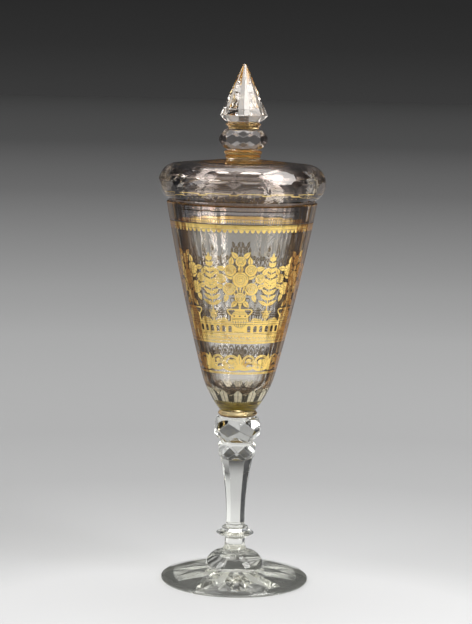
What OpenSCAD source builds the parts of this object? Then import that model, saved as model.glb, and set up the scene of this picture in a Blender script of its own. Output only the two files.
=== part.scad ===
// Covered glass goblet with gold leaf held between two layers of glass.
// Millimetres, +Z up, origin on the axis in the plane that the foot rests on.

/* [Foot] */
// Diameter of the foot
foot_d = 89.2; // [76:0.2:110]
// Thickness of the foot at its rounded edge
foot_edge_h = 2.4; // [1.6:0.1:4]
// Height of the foot where the dome stands on it
foot_crown_h = 8.6; // [7.5:0.1:12]
// How far the top of the foot swells above a straight cone
foot_swell = 0.8; // [0:0.1:1.5]
// Depth of the star cut under the foot
star_depth = 3.4; // [2:0.1:5]
// Narrowest width of the flat ring that the foot rests on
foot_ring_w = 6.4; // [4:0.2:14]
// Number of points of the star cut under the foot
star_points = 10; // [6:1:12]
// Width of the blunt end of a point
star_blunt_w = 7.6; // [4:0.2:12]
// Diameter across the notches between the star's points
star_notch_d = 47; // [36:0.5:54]

/* [Foot dome] */
// Widest diameter of the dome on the foot
dome_d = 36; // [30:0.5:44]
// Diameter of the joint between the dome and the foot
dome_seat_d = 36; // [26:0.5:40]
// Height of the dome
dome_h = 9; // [7:0.1:14]
// Diameter of the neck above the dome
neck_d = 12.4; // [9:0.1:16]
// Height of the neck with its fillet
neck_h = 8.6; // [5:0.1:12]

/* [Merese under the stem] */
// Diameter of the sharp edge
merese_d = 22.6; // [18:0.2:30]
// Height of the merese from the neck up to the stem
merese_h = 6.6; // [5:0.1:9]
// Diameter of the small step on top of the merese
merese_step_d = 16.4; // [13.5:0.2:17.5]
// Height of the small step
merese_step_h = 1.9; // [1:0.1:2.4]

/* [Stem] */
// Height of the stem
stem_h = 52.9; // [40:0.1:70]
// Number of sides of the stem and its knop
stem_sides = 6; // [5:1:8]
// Diameter across the shoulder before it is cut
shoulder_d = 27; // [25:0.2:32]
// Diameter of the joint at the top of the stem
stem_top_d = 19.6; // [16:0.2:20.4]
// Diameter of the joint at the bottom of the stem
stem_low_d = 11.6; // [10:0.1:12.4]
// Distance across the flats at the waist of the stem
stem_waist = 9.7; // [8:0.1:11.4]
// Height of the waist above the bottom of the stem
waist_h = 5.2; // [3:0.1:10]
// Diameter of the wheel that cuts the long stem flutes
stem_wheel_d = 390; // [320:5:460]
// Height of the shoulder's cut zone
shoulder_h = 9.2; // [8:0.1:11]
// Distance across the kite facets of the shoulder
kite_flats = 22; // [20.6:0.1:23.6]

/* [Stem knop] */
// Height of the knop
knop_h = 15.5; // [12:0.1:20]
// Diameter of the knop before it is cut
knop_d = 31; // [30:0.2:34]
// Distance across the upper facets of the knop
knop_flats = 25.8; // [25.4:0.1:27]
// Diameter of the joint at the top of the knop
knop_top_d = 21.4; // [17:0.2:22]

/* [Collar under the bowl] */
// Diameter of the collar
collar_d = 23.8; // [21:0.2:30]
// Height of the collar
collar_h = 3.4; // [2.4:0.1:5]

/* [Bowl] */
// Height of the bowl from the collar to the rim
bowl_h = 125.5; // [110:0.5:150]
// Outer diameter of the rim
rim_d = 90; // [84:0.5:100]
// Diameter of the bowl where its straight wall starts
wall_low_d = 43.8; // [42:0.2:52]
// Height of that place above the collar
wall_low_h = 21.4; // [19:0.2:26]
// How far the wall bulges from a straight cone
wall_bulge = 1.1; // [0:0.1:2]
// Diameter of the joint between the bowl and the collar
bowl_joint_d = 21.6; // [18:0.2:23]
// Number of flat panels cut round the bowl
bowl_panels = 22; // [16:2:28]
// Wall of the outer layer
outer_wall = 1.9; // [1.6:0.1:2.6]
// Wall of the inner beaker
inner_wall = 1.8; // [1.2:0.1:2.6]
// Room for cement and gold leaf between the two layers
cement_gap = 0.4; // [0.3:0.05:0.6]
// Thickness of the gold leaf with its varnish
leaf_t = 0.16; // [0.1:0.02:0.24]
// Height of the rim above the seam between the layers
rim_zone_h = 11; // [8:0.5:16]
// Height of the cement line in the seam
seam_h = 0.4; // [0.2:0.1:0.8]
// Thickness of the outer layer's floor
outer_floor = 4.8; // [4:0.1:6]
// Diameter of the floor where the medallion lies
floor_d = 25; // [22:0.2:27]
// Thickness of the inner beaker's floor
inner_floor = 5; // [3:0.1:7]

/* [Gold in the bowl] */
// Height of the rim band
band_h = 4.5; // [2:0.1:6]
// Height of the frieze's lower edge above the collar
frieze_low = 43.8; // [40:0.2:50]
// Height of the frieze's ground strip
ground_h = 6.2; // [3:0.1:10]
// Number of times that the frieze repeats
frieze_repeats = 6; // [5:1:6]
// Height of a vase on the ground strip
vase_h = 15; // [12:0.5:18]
// Width of a vase
vase_w = 9.5; // [7:0.5:11]
// Radius of the largest blossom
blossom_r = 4; // [3:0.1:4.4]
// Height of the scroll border's lower edge above the collar
scroll_low = 26.6; // [25.5:0.1:30]
// Height of the scroll border
scroll_h = 11; // [8:0.2:12]
// Number of scrolls in the border
scrolls = 8; // [6:1:10]
// Height of the plain line under the scroll border
line_h = 1.2; // [0.8:0.1:1.6]
// Room between the plain line and the scrolls
line_gap = 0.5; // [0.3:0.1:1]
// Thickness of the lacquer disc in the base
glaze_t = 0.2; // [0.1:0.05:0.4]
// Diameter of the rosette in the base
rosette_d = 22; // [18:0.2:24]
// Height of the rosette's leaves that rise round the bottom of the bowl
rosette_h = 7.6; // [5:0.2:9]
// Number of leaves in the rosette
rosette_leaves = 12; // [8:2:16]

/* [Cover] */
// How far the cover stands out past the rim before it is cut
cover_overhang = 4.9; // [3:0.1:8]
// Radius of the cover's swollen edge
edge_r = 11.3; // [10:0.1:13]
// Height of the swollen edge's middle above the rim
edge_mid_h = 11.6; // [10.6:0.1:14]
// Height of the cover from the rim to the finial
cover_h = 26; // [24:0.1:32]
// Room between the cover's seat and the rim
seat_gap = 0.1; // [0.05:0.05:0.3]
// How far the seat's outer edge lies inside the rim
seat_inset = 0.7; // [0.2:0.1:1.4]
// Width of the shell's seat on the rim
seat_w = 3.1; // [2.4:0.1:3.6]
// Number of facets in each row on the cover
cover_facets = 16; // [12:2:20]
// Depth that the cover's facets are cut
facet_depth = 0.9; // [0.5:0.05:1.2]
// Glass over the cover's liner at the middle
shell_crown = 5.6; // [4:0.1:8]
// Wall of the cover's liner
liner_wall = 2; // [1.4:0.1:3]
// Depth of the flange inside the bowl
flange_depth = 8; // [5:0.5:14]
// Room between the flange and the bowl
flange_gap = 0.6; // [0.3:0.1:1.2]
// Diameter of the gold field round the finial
field_d = 50; // [36:1:56]
// Height of the gold border above the seat
border_low = 6; // [3:0.1:7]
// Height of the gold border
border_h = 1.4; // [1:0.1:3]
// Height of the cement ring between shell and liner
cover_cement_h = 1.6; // [1:0.1:2.4]

/* [Finial] */
// Diameter of the finial's stepped base collar
base_collar_d = 22.6; // [20:0.2:28]
// Height of the base collar
base_collar_h = 5; // [4:0.1:7]
// Diameter of the joints along the finial
finial_joint_d = 18.6; // [16:0.2:19.2]
// Diameter of the finial's knop before it is cut
finial_knop_d = 29.4; // [28:0.2:34]
// Height of the finial's knop
finial_knop_h = 12.4; // [11:0.1:15]
// Number of facets in each row of the finial's knop
finial_facets = 8; // [6:1:10]
// Diameter of the collar under the spire
spire_collar_d = 21; // [20:0.2:25]
// Height of the collar under the spire
spire_collar_h = 4; // [3:0.1:6]
// Width of the spire over its lower corners
spire_d = 28.4; // [24:0.2:34]
// Height of the spire
spire_h = 34; // [26:0.2:44]
// Number of sides of the spire
spire_sides = 8; // [6:1:10]
// Height of the spire's under-bevel
bevel_h = 3.9; // [2:0.1:5]

/* [Hidden] */
$fn = 96;

// Colours of the glass, the gold leaf and the small fillings
glass = [0.86, 0.89, 0.88, 0.45];
bowl_glass = [0.80, 0.78, 0.80, 0.40];
gold = [0.87, 0.66, 0.23];
amber = [0.80, 0.50, 0.12];
cement = [0.35, 0.22, 0.10];
lacquer = [0.62, 0.60, 0.18];
silver_leaf = [0.72, 0.70, 0.62];

// Heights of the joints, from the resting plane up
dome_z = foot_crown_h;
merese_z = dome_z + dome_h + neck_h;
stem_z = merese_z + merese_h;
knop_z = stem_z + stem_h;
collar_z = knop_z + knop_h;
bowl_z = collar_z + collar_h;
rim_z = bowl_z + bowl_h;
seat_z = rim_z + seat_gap;
cover_top_z = rim_z + cover_h;
finial_knop_z = cover_top_z + base_collar_h;
spire_collar_z = finial_knop_z + finial_knop_h;
spire_z = spire_collar_z + spire_collar_h;

// Levels in the bowl
wall_low_z = bowl_z + wall_low_h;
seam_z = rim_z - rim_zone_h;
outer_floor_z = bowl_z + outer_floor;
inner_bottom_z = outer_floor_z + glaze_t + leaf_t;
inner_floor_z = inner_bottom_z + inner_floor;
frieze_z = bowl_z + frieze_low;
scroll_z = bowl_z + scroll_low;

// Offsets of the layers from the bowl's outer wall
outer_inside = -outer_wall;
leaf_outside = outer_inside - (cement_gap - leaf_t) / 2;
leaf_inside = leaf_outside - leaf_t;
inner_outside = outer_inside - cement_gap;
inner_inside = inner_outside - inner_wall;

// Length of a cutting block and the room that a cutter reaches past what it cuts
cutter = 60;
past = 1;
// Reach of a leaf cutter to each side of the leaf
leaf_reach = 4;
// Edge radius of the collars, and the flat at the tip of the spire
collar_edge = 0.7;
tip_flat = 0.9;
// Points along a curve, and the longest straight step up the bowl's wall
curve_steps = 12;
wall_step = 10;

function lerp(a, b, t) = a + (b - a) * t;
function quad(p, q, r, t) = (1 - t) * (1 - t) * p + 2 * (1 - t) * t * q + t * t * r;
function cubic(p, q, r, s, t) =
    pow(1 - t, 3) * p + 3 * pow(1 - t, 2) * t * q + 3 * (1 - t) * t * t * r + pow(t, 3) * s;
function quad_curve(p, q, r) = [for (i = [0 : curve_steps]) quad(p, q, r, i / curve_steps)];
function cubic_curve(p, q, r, s) = [for (i = [0 : curve_steps]) cubic(p, q, r, s, i / curve_steps)];
function arc(c, r, from, to) =
    [for (i = [0 : curve_steps]) let (a = lerp(from, to, i / curve_steps)) c + r * [cos(a), sin(a)]];
function reversed(list) = [for (i = [len(list) - 1 : -1 : 0]) list[i]];

// Outer radius of the bowl's wall at a height, and its slope at the low end
function wall_t(z) = (z - wall_low_z) / (rim_z - wall_low_z);
function wall_r(z) =
    lerp(wall_low_d, rim_d, wall_t(z)) / 2 + 4 * wall_bulge * wall_t(z) * (1 - wall_t(z));
function wall_curve(inset, low, high) =
    let (steps = ceil((high - low) / wall_step))
    [for (i = [0 : steps]) let (z = lerp(low, high, i / steps)) [wall_r(z) + inset, z]];
wall_low_slope = (rim_d / 2 - wall_low_d / 2 + 4 * wall_bulge) / (rim_z - wall_low_z);

// Round part of a layer below its wall: from the wall's low end in to a floor
function bottom_curve(inset, floor_r, floor_z) =
    let (start = [wall_low_d / 2 + inset, wall_low_z], drop = (wall_low_z - floor_z) / 2)
    quad_curve(start, start - drop * [wall_low_slope, 1], [floor_r, floor_z]);

// Turns a profile of [radius, height] points about the axis
module turned(points) rotate_extrude() polygon(points);

// Blocks that cut one row of flat facets: each face lies at a distance from a point on the axis,
// its outward side lifted by a tilt
module facet_row(count, z, distance, tilt, phase) {
    for (i = [0 : count - 1])
        rotate([0, 0, phase + 360 * i / count])
            translate([0, 0, z])
                rotate([0, -tilt, 0])
                    translate([distance, -cutter / 2, -cutter / 2])
                        cube(cutter);
}

// Foot

foot_ring_r = foot_d / 2 - foot_edge_h / 2;
star_tip_r = foot_ring_r - foot_ring_w;

function foot_top(t) =
    [lerp(foot_ring_r, dome_seat_d / 2, t),
        lerp(foot_edge_h, foot_crown_h, t) + 4 * foot_swell * t * (1 - t)];

// Angle of the star's first point
star_turn = -85;

// Shallow pyramid with a star-shaped base of blunt points, carried on a little below the resting plane
module star_cut() {
    n = 3 * star_points;
    grow = 1 + past / star_depth;
    half = asin(star_blunt_w / 2 / star_tip_r);
    corners = [[star_tip_r, -half], [star_tip_r, half], [star_notch_d / 2, 180 / star_points]];
    base = [for (i = [0 : n - 1])
        let (corner = corners[i % 3], angle = star_turn + corner[1] + 360 * floor(i / 3) / star_points)
        [corner[0] * grow * cos(angle), corner[0] * grow * sin(angle), -past]];
    sides = [for (i = [0 : n - 1]) [(i + 1) % n, i, n]];
    floor_face = [for (i = [0 : n - 1]) i];
    polyhedron(points = concat(base, [[0, 0, star_depth]]), faces = concat(sides, [floor_face]));
}

module foot() {
    top = [for (i = [1 : curve_steps]) foot_top(i / curve_steps)];
    edge = arc([foot_ring_r, foot_edge_h / 2], foot_edge_h / 2, -90, 90);
    color(glass)
        difference() {
            turned(concat([[0, 0]], edge, top, [[0, foot_crown_h]]));
            star_cut();
        }
}

// Share of the neck's height that its fillet takes
neck_fillet = 0.55;

module foot_dome() {
    seat = [dome_seat_d / 2, dome_z];
    shoulder = [neck_d / 2 + neck_h / 2, dome_z + dome_h];
    swell = dome_d / 2 + (dome_d - dome_seat_d) / 2;
    side = [swell, dome_z + dome_h / 3];
    brow = [swell - dome_h / 3, shoulder.y - dome_h / 8];
    neck_bend = [neck_d / 2, shoulder.y + neck_h / 8];
    neck_low = [neck_d / 2, shoulder.y + neck_h * neck_fillet];
    color(glass)
        turned(concat([[0, dome_z]],
            cubic_curve(seat, side, brow, shoulder),
            quad_curve(shoulder, neck_bend, neck_low),
            [[neck_d / 2, merese_z], [0, merese_z]]));
}

// Share of the merese's height, without its step, at which its edge lies, and that edge's radius and reach
merese_edge = 0.6;
merese_edge_r = 0.4;
merese_arc = 60;

module lower_merese() {
    edge_z = merese_z + (merese_h - merese_step_h) * merese_edge;
    step_z = stem_z - merese_step_h;
    color(glass)
        turned(concat([[0, merese_z], [neck_d / 2, merese_z]],
            arc([merese_d / 2 - merese_edge_r, edge_z], merese_edge_r, -merese_arc, merese_arc),
            [[merese_step_d / 2, step_z]],
            arc([merese_step_d / 2 - collar_edge, stem_z - collar_edge], collar_edge, 0, 90),
            [[stem_low_d / 2, stem_z], [0, stem_z]]));
}

// Stem

shoulder_mid_z = knop_z - shoulder_h / 2;
shoulder_low_z = knop_z - shoulder_h;
// Slopes of the shoulder's facets: kites lean under, gables lean far under, top facets lean back
kite_tilt = -4;
gable_tilt = -37;
stem_top_tilt = 28;
// Height of the round ring at the foot of the stem
stem_ring_h = 1.4;
// Number of flats that stand for the round of the wheel
wheel_flats = 360;
// How far the gables start below the point where the kites meet
gable_drop = 0.4;

module stem_blank() {
    turned(concat([[0, stem_z], [stem_low_d / 2, stem_z]],
        quad_curve([stem_low_d / 2 + past, stem_z + waist_h / 2],
            [stem_low_d / 2 + past, knop_z - stem_h / 2],
            [shoulder_d / 2, shoulder_low_z + shoulder_h / 4]),
        [[shoulder_d / 2, knop_z - shoulder_h / 3], [stem_top_d / 2, knop_z - collar_edge],
            [stem_top_d / 2, knop_z], [0, knop_z]]));
}

// Distance from the axis to the corners where two kites meet
gable_r = kite_flats / 2 / cos(180 / stem_sides);

// One long flute: the wheel's cut, stopped at its upper end by the gable's plane
module stem_flute() {
    intersection() {
        translate([stem_waist / 2 + stem_wheel_d / 2, 0, stem_z + waist_h])
            rotate([90, 0, 0])
                cylinder(d = stem_wheel_d, h = shoulder_d, center = true, $fn = wheel_flats);
        translate([gable_r, 0, shoulder_mid_z - gable_drop])
            rotate([0, -gable_tilt, 0])
                translate([0, -cutter / 2, -stem_h - cutter])
                    cube([cutter, cutter, stem_h + 2 * cutter]);
    }
}

module stem() {
    color(glass)
        union() {
            difference() {
                stem_blank();
                for (i = [0 : stem_sides - 1])
                    rotate([0, 0, 360 * i / stem_sides - 90]) stem_flute();
                facet_row(stem_sides, shoulder_mid_z, kite_flats / 2, kite_tilt, 180 / stem_sides - 90);
                facet_row(stem_sides, shoulder_mid_z, gable_r * cos(stem_top_tilt), stem_top_tilt, -90);
            }
            translate([0, 0, stem_z]) cylinder(d = stem_low_d, h = stem_ring_h);
        }
}

// Slopes of the knop's two rows of facets, their middles as shares of its height, how much nearer
// to the axis the lower row lies, and how far both are turned
knop_high_tilt = 7;
knop_low_tilt = -40;
knop_high = 0.62;
knop_low = 0.5;
knop_low_share = 0.89;
knop_turn = 6;
// Heights, as shares, at which the knop's outline bends out and back in, and the radius of those
// bends that lets the outline reach the knop's diameter
knop_bend_low = 0.1;
knop_bend_high = 0.9;
knop_reach = (knop_d / 2 - (stem_top_d + knop_top_d) / 16) * 4 / 3;

module stem_knop() {
    bend_low = [knop_reach, knop_z + knop_h * knop_bend_low];
    bend_high = [knop_reach, knop_z + knop_h * knop_bend_high];
    color(glass)
        difference() {
            turned(concat([[0, knop_z], [stem_top_d / 2, knop_z]],
                cubic_curve([stem_top_d / 2, knop_z + collar_edge], bend_low, bend_high,
                    [knop_top_d / 2, collar_z - collar_edge]),
                [[knop_top_d / 2, collar_z], [0, collar_z]]));
            facet_row(stem_sides, knop_z + knop_h * knop_high, knop_flats / 2, knop_high_tilt,
                180 / stem_sides - 90 + knop_turn);
            facet_row(stem_sides, knop_z + knop_h * knop_low, knop_flats / 2 * knop_low_share,
                knop_low_tilt, knop_turn - 90);
        }
}

// Height of the collar's edge as a share, and the angles between which the edge is round
collar_mid = 0.45;
collar_arc = [-70, 60];

module bowl_collar() {
    mid_z = collar_z + collar_h * collar_mid;
    color(glass)
        turned(concat([[0, collar_z], [knop_top_d / 2, collar_z]],
            arc([collar_d / 2 - collar_edge, mid_z], collar_edge, collar_arc[0], collar_arc[1]),
            [[bowl_joint_d / 2, bowl_z], [0, bowl_z]]));
}

// Bowl

// Solid of flat panels that follows the bowl's wall, carried straight on below it
module panelled_wall() {
    levels = concat([bowl_z - past], [for (p = wall_curve(0, wall_low_z, rim_z)) p.y]);
    corner = 1 / cos(90 / bowl_panels);
    rings = [for (z = levels)
        let (below = wall_low_d / 2 - wall_low_slope * (wall_low_z - z))
        let (r = (z < wall_low_z ? below : wall_r(z)) * corner)
        for (i = [0 : bowl_panels - 1])
            [r * cos(360 * i / bowl_panels - 90), r * sin(360 * i / bowl_panels - 90), z]];
    n = bowl_panels;
    sides = [for (k = [0 : len(levels) - 2]) for (i = [0 : n - 1])
        [k * n + i, (k + 1) * n + i, (k + 1) * n + (i + 1) % n, k * n + (i + 1) % n]];
    floor_face = [for (i = [0 : n - 1]) i];
    top_face = [for (i = [n - 1 : -1 : 0]) (len(levels) - 1) * n + i];
    polyhedron(points = rings, faces = concat(sides, [floor_face, top_face]));
}

// Turned blank that rounds off the panels at the bottom of the bowl and stops at a level
module bowl_blank(low, high) {
    outside = concat(reversed(bottom_curve(0, bowl_joint_d / 2, bowl_z)),
        [[rim_d, rim_z], [rim_d, rim_z + past]]);
    intersection() {
        panelled_wall();
        turned(concat([[0, bowl_z]], outside, [[0, rim_z + past]]));
        translate([0, 0, low]) cylinder(d = 2 * rim_d, h = high - low);
    }
}

module outer_bowl() {
    color(bowl_glass)
        difference() {
            bowl_blank(bowl_z, seam_z);
            turned(concat([[0, outer_floor_z]],
                reversed(bottom_curve(outer_inside, floor_d / 2, outer_floor_z)),
                wall_curve(outer_inside, wall_low_z, rim_z),
                [[0, rim_z]]));
        }
}

module inner_bowl() {
    step_z = seam_z + seam_h;
    low_r = floor_d / 2 - cement_gap;
    color(bowl_glass)
        difference() {
            union() {
                bowl_blank(step_z, rim_z);
                turned(concat([[0, inner_bottom_z]],
                    reversed(bottom_curve(inner_outside, low_r, inner_bottom_z)),
                    wall_curve(inner_outside, wall_low_z, step_z),
                    [[0, step_z]]));
            }
            turned(concat([[0, inner_floor_z]],
                reversed(bottom_curve(inner_inside, low_r - inner_wall, inner_floor_z)),
                wall_curve(inner_inside, wall_low_z, rim_z),
                [[wall_r(rim_z) + inner_inside, rim_z + past], [0, rim_z + past]]));
        }
}

module seam_cement() {
    color(cement)
        difference() {
            bowl_blank(seam_z, seam_z + seam_h);
            translate([0, 0, seam_z - past])
                cylinder(r = wall_r(seam_z + seam_h) + outer_inside, h = seam_h + 2 * past);
        }
}

// Gold leaf between the layers

module leaf_film(low, high) {
    turned(concat(wall_curve(leaf_outside, low, high), reversed(wall_curve(leaf_inside, low, high))));
}

// Pushes a flat shape through the leaf at an angle and height: x runs round, y runs up
module through_leaf(angle, z) {
    rotate([0, 0, angle - 90])
        translate([wall_r(z) + leaf_inside - leaf_reach, 0, z])
            rotate([90, 0, 90])
                linear_extrude(2 * leaf_reach) children();
}

module rim_gold_band() {
    color(gold) leaf_film(seam_z - band_h, seam_z);
}

// Places of the blossoms over a vase: share of the repeat, height over the vase, share of size
BLOSSOMS = [
    [0, 17.5, 1], [-0.17, 12, 0.8], [0.17, 12, 0.8], [-0.15, 22.5, 0.75], [0.15, 22.5, 0.75],
    [0, 7, 0.7], [0, 27.5, 0.65], [-0.3, 18, 0.6], [0.3, 18, 0.6],
];

// Right side of a vase from its foot up: shares of its width and height
VASE = [[0.3, 0], [0.12, 0.22], [0.5, 0.55], [0.42, 0.78], [0.26, 0.88], [0.4, 1]];

module vase_outline() {
    right = [for (p = VASE) [p.x * vase_w, p.y * vase_h]];
    left = [for (p = reversed(right)) [-p.x, p.y]];
    polygon(concat(right, left));
}

module frieze_gold() {
    ground_top = frieze_z + ground_h;
    vase_top = ground_top + vase_h;
    color(gold) {
        leaf_film(frieze_z, ground_top);
        for (k = [0 : frieze_repeats - 1]) {
            middle = 360 * k / frieze_repeats;
            intersection() {
                leaf_film(ground_top, vase_top);
                through_leaf(middle, ground_top) vase_outline();
            }
            for (b = BLOSSOMS) {
                r = blossom_r * b[2];
                z = vase_top + b[1];
                intersection() {
                    leaf_film(z - r - past, z + r + past);
                    through_leaf(middle + b[0] * 360 / frieze_repeats, z) circle(r);
                }
            }
        }
    }
}

// Sizes in the scroll border as shares of its height: the rings, their holes, the leaves over,
// under and between them, and the height of those between
scroll_ring = 0.36;
scroll_hole = 0.22;
scroll_leaf_top = 0.16;
scroll_leaf_low = 0.2;
scroll_leaf_side = 0.26;
scroll_side_at = 0.45;

module scroll_gold() {
    ring_r = scroll_h * scroll_ring;
    color(gold)
        for (k = [0 : scrolls - 1]) {
            angle = 360 * k / scrolls;
            intersection() {
                leaf_film(scroll_z, scroll_z + scroll_h);
                through_leaf(angle, scroll_z + scroll_h / 2)
                    union() {
                        difference() {
                            circle(ring_r);
                            circle(scroll_h * scroll_hole);
                        }
                        translate([0, ring_r]) circle(scroll_h * scroll_leaf_top);
                        translate([0, -ring_r]) circle(scroll_h * scroll_leaf_low);
                    }
            }
            intersection() {
                leaf_film(scroll_z, scroll_z + scroll_h);
                through_leaf(angle + 180 / scrolls, scroll_z + scroll_h * scroll_side_at)
                    circle(scroll_h * scroll_leaf_side);
            }
        }
}

module scroll_gold_line() {
    high = scroll_z - line_gap;
    color(gold) leaf_film(high - line_h, high);
}

module base_glaze() {
    color(lacquer)
        translate([0, 0, outer_floor_z]) cylinder(d = floor_d - 2 * cement_gap, h = glaze_t);
}

// Share of the rosette's diameter at which its leaves are widest
rosette_wide = 0.36;
// Height over the floor at which the leaves start to rise, the band that joins them as a share of
// their height, and how wide they are there
rise_start = 2.6;
rise_band = 0.3;
rise_wide = 3.6;

// Side of the leaf that follows the bottom of the bowl between its layers: 1 outside, -1 inside
function rise_curve(side) =
    bottom_curve((outer_inside + inner_outside + side * leaf_t) / 2,
        (floor_d - cement_gap + side * leaf_t) / 2, (outer_floor_z + inner_bottom_z) / 2);

module flat_leaves() {
    leaf_w = PI * rosette_d / rosette_leaves / 3;
    wide_r = rosette_d * rosette_wide;
    translate([0, 0, outer_floor_z + glaze_t])
        linear_extrude(leaf_t)
            union() {
                circle(d = rosette_d / 3);
                for (i = [0 : rosette_leaves - 1])
                    rotate(360 * i / rosette_leaves)
                        polygon([[0, -leaf_w / 2], [wide_r, -leaf_w], [rosette_d / 2, 0],
                            [wide_r, leaf_w], [0, leaf_w / 2]]);
            }
}

module raised_leaves() {
    low_z = outer_floor_z + rise_start;
    intersection() {
        turned(concat(rise_curve(1), reversed(rise_curve(-1))));
        union() {
            translate([0, 0, low_z]) cylinder(d = rim_d, h = rosette_h * rise_band);
            for (i = [0 : rosette_leaves - 1])
                rotate([0, 0, 360 * i / rosette_leaves])
                    translate([0, 0, low_z])
                        rotate([90, 0, 90])
                            linear_extrude(rim_d)
                                polygon([[-rise_wide, 0], [rise_wide, 0], [rise_wide, rosette_h / 2],
                                    [0, rosette_h], [-rise_wide, rosette_h / 2]]);
        }
    }
}

module base_rosette() {
    color(silver_leaf) {
        flat_leaves();
        raised_leaves();
    }
}

// Cover

seat_r = rim_d / 2 - seat_inset;
shell_bore_r = seat_r - seat_w;
edge_mid_r = rim_d / 2 + cover_overhang - edge_r;
edge_mid_z = rim_z + edge_mid_h;
bore_top_z = cover_top_z - shell_crown;
// The bore's shoulder, from the straight bore in to its flat top
bore_round = 9;
// The flange clears the bowl's inside at its own lowest level
liner_flange_r = wall_r(rim_z - flange_depth) + inner_inside - flange_gap;
// Angle at which the swollen edge starts over the seat
lip_start = -75;
// Tilts of the three rows of facets, the least share of their depth, and how far they are turned
cover_tilts = [-14, 28, 62];
least_depth = 0.5;
cover_turn = -5.6;
cover_phase = cover_turn - 90 + 180 / cover_facets;

// Cap-shaped profile: a straight side from a level, a round shoulder and a flat top
function cap_profile(low, side_r, top_z, round_r) =
    concat([[0, low], [side_r, low]],
        arc([side_r - round_r, top_z - round_r], round_r, 0, 90), [[0, top_z]]);

module cover_blank() {
    top = [finial_joint_d / 2, cover_top_z];
    lip = arc([edge_mid_r, edge_mid_z], edge_r, lip_start, 90);
    turned(concat([[0, seat_z], [seat_r - collar_edge, seat_z], [seat_r, seat_z + collar_edge],
        [seat_r, lip[0].y + past]], [for (p = lip) if (p.x > seat_r) p],
        [for (p = lip) if (p.x <= seat_r && p.y > edge_mid_z) p],
        [[base_collar_d / 2, cover_top_z - collar_edge], top, [0, cover_top_z]]));
}

module cover_shell() {
    color(bowl_glass)
        difference() {
            cover_blank();
            for (tilt = cover_tilts)
                facet_row(cover_facets, edge_mid_z,
                    edge_mid_r * cos(tilt) + edge_r - facet_depth * max(cos(tilt), least_depth),
                    tilt, cover_phase);
            turned(cap_profile(seat_z - past, shell_bore_r, bore_top_z, bore_round));
        }
}

module cover_liner() {
    outside_r = shell_bore_r - cement_gap;
    inside_r = liner_flange_r - liner_wall;
    low_z = seat_z - flange_depth;
    top_z = bore_top_z - cement_gap;
    color(bowl_glass)
        difference() {
            union() {
                turned(cap_profile(seat_z, outside_r, top_z, bore_round));
                translate([0, 0, low_z]) cylinder(r = liner_flange_r, h = flange_depth + past);
            }
            turned(cap_profile(low_z - past, inside_r, top_z - liner_wall, bore_round));
        }
}

module cover_cement() {
    color(cement)
        translate([0, 0, seat_z])
            difference() {
                cylinder(r = shell_bore_r, h = cover_cement_h);
                translate([0, 0, -past])
                    cylinder(r = shell_bore_r - cement_gap, h = cover_cement_h + 2 * past);
            }
}

module cover_gold_border() {
    leaf_r = shell_bore_r - (cement_gap - leaf_t) / 2;
    color(gold)
        translate([0, 0, seat_z + border_low])
            difference() {
                cylinder(r = leaf_r, h = border_h);
                translate([0, 0, -past]) cylinder(r = leaf_r - leaf_t, h = border_h + 2 * past);
            }
}

module cover_gold_field() {
    color(amber)
        translate([0, 0, bore_top_z - (cement_gap + leaf_t) / 2]) cylinder(d = field_d, h = leaf_t);
}

// Finial

// Height of the groove between the base collar's two steps, as a share
groove_at = 0.42;

module finial_base_collar() {
    low_r = base_collar_d / 2 - collar_edge;
    groove_z = cover_top_z + base_collar_h * groove_at;
    low_mid_z = (cover_top_z + groove_z - collar_edge / 2) / 2;
    upper = base_collar_h * (1 - groove_at) - collar_edge / 2;
    color(bowl_glass)
        turned(concat([[0, cover_top_z], [finial_joint_d / 2, cover_top_z]],
            arc([low_r - collar_edge, low_mid_z], collar_edge, -90, 90),
            [[low_r - 2 * collar_edge, groove_z]],
            arc([base_collar_d / 2 - upper / 2, groove_z + upper / 2], upper / 2, -90, 90),
            [[finial_joint_d / 2, finial_knop_z - collar_edge / 4], [finial_joint_d / 2, finial_knop_z],
                [0, finial_knop_z]]));
}

// Slopes of the finial knop's three rows, and the share of the facet depth that each is cut
finial_tilts = [-38, 0, 38];
finial_depths = [0.8, 1.6, 0.8];

module finial_knop() {
    mid_z = finial_knop_z + finial_knop_h / 2;
    bulge = finial_knop_h / 2 - collar_edge / 4;
    reach = finial_knop_d / 2 - bulge;
    color(bowl_glass)
        difference() {
            turned(concat([[0, finial_knop_z], [finial_joint_d / 2, finial_knop_z]],
                [for (p = arc([reach, mid_z], bulge, -90, 90)) if (p.x > finial_joint_d / 2) p],
                [[finial_joint_d / 2, spire_collar_z], [0, spire_collar_z]]));
            for (i = [0 : len(finial_tilts) - 1])
                facet_row(finial_facets, mid_z,
                    reach * cos(finial_tilts[i]) + bulge - facet_depth * finial_depths[i], finial_tilts[i],
                    -90 + (i == 1 ? 180 / finial_facets : 0));
        }
}

// Heights of the collar's neck and edge under the spire, as shares, and where the edge starts to round
spire_collar_neck = 0.3;
spire_collar_mid = 0.62;
spire_collar_arc = -60;

module finial_collar() {
    mid_z = spire_collar_z + spire_collar_h * spire_collar_mid;
    neck_z = spire_collar_z + spire_collar_h * spire_collar_neck;
    color(bowl_glass)
        turned(concat([[0, spire_collar_z], [finial_joint_d / 2, spire_collar_z],
            [finial_joint_d / 2 + collar_edge / 4, neck_z]],
            arc([spire_collar_d / 2 - collar_edge, mid_z], collar_edge, spire_collar_arc, 90),
            [[finial_joint_d / 2, spire_z - collar_edge / 4], [finial_joint_d / 2, spire_z],
                [0, spire_z]]));
}

// Height of the round stub that joins the spire to its collar, and runs on inside the spire
stub_h = 0.4;

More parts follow.
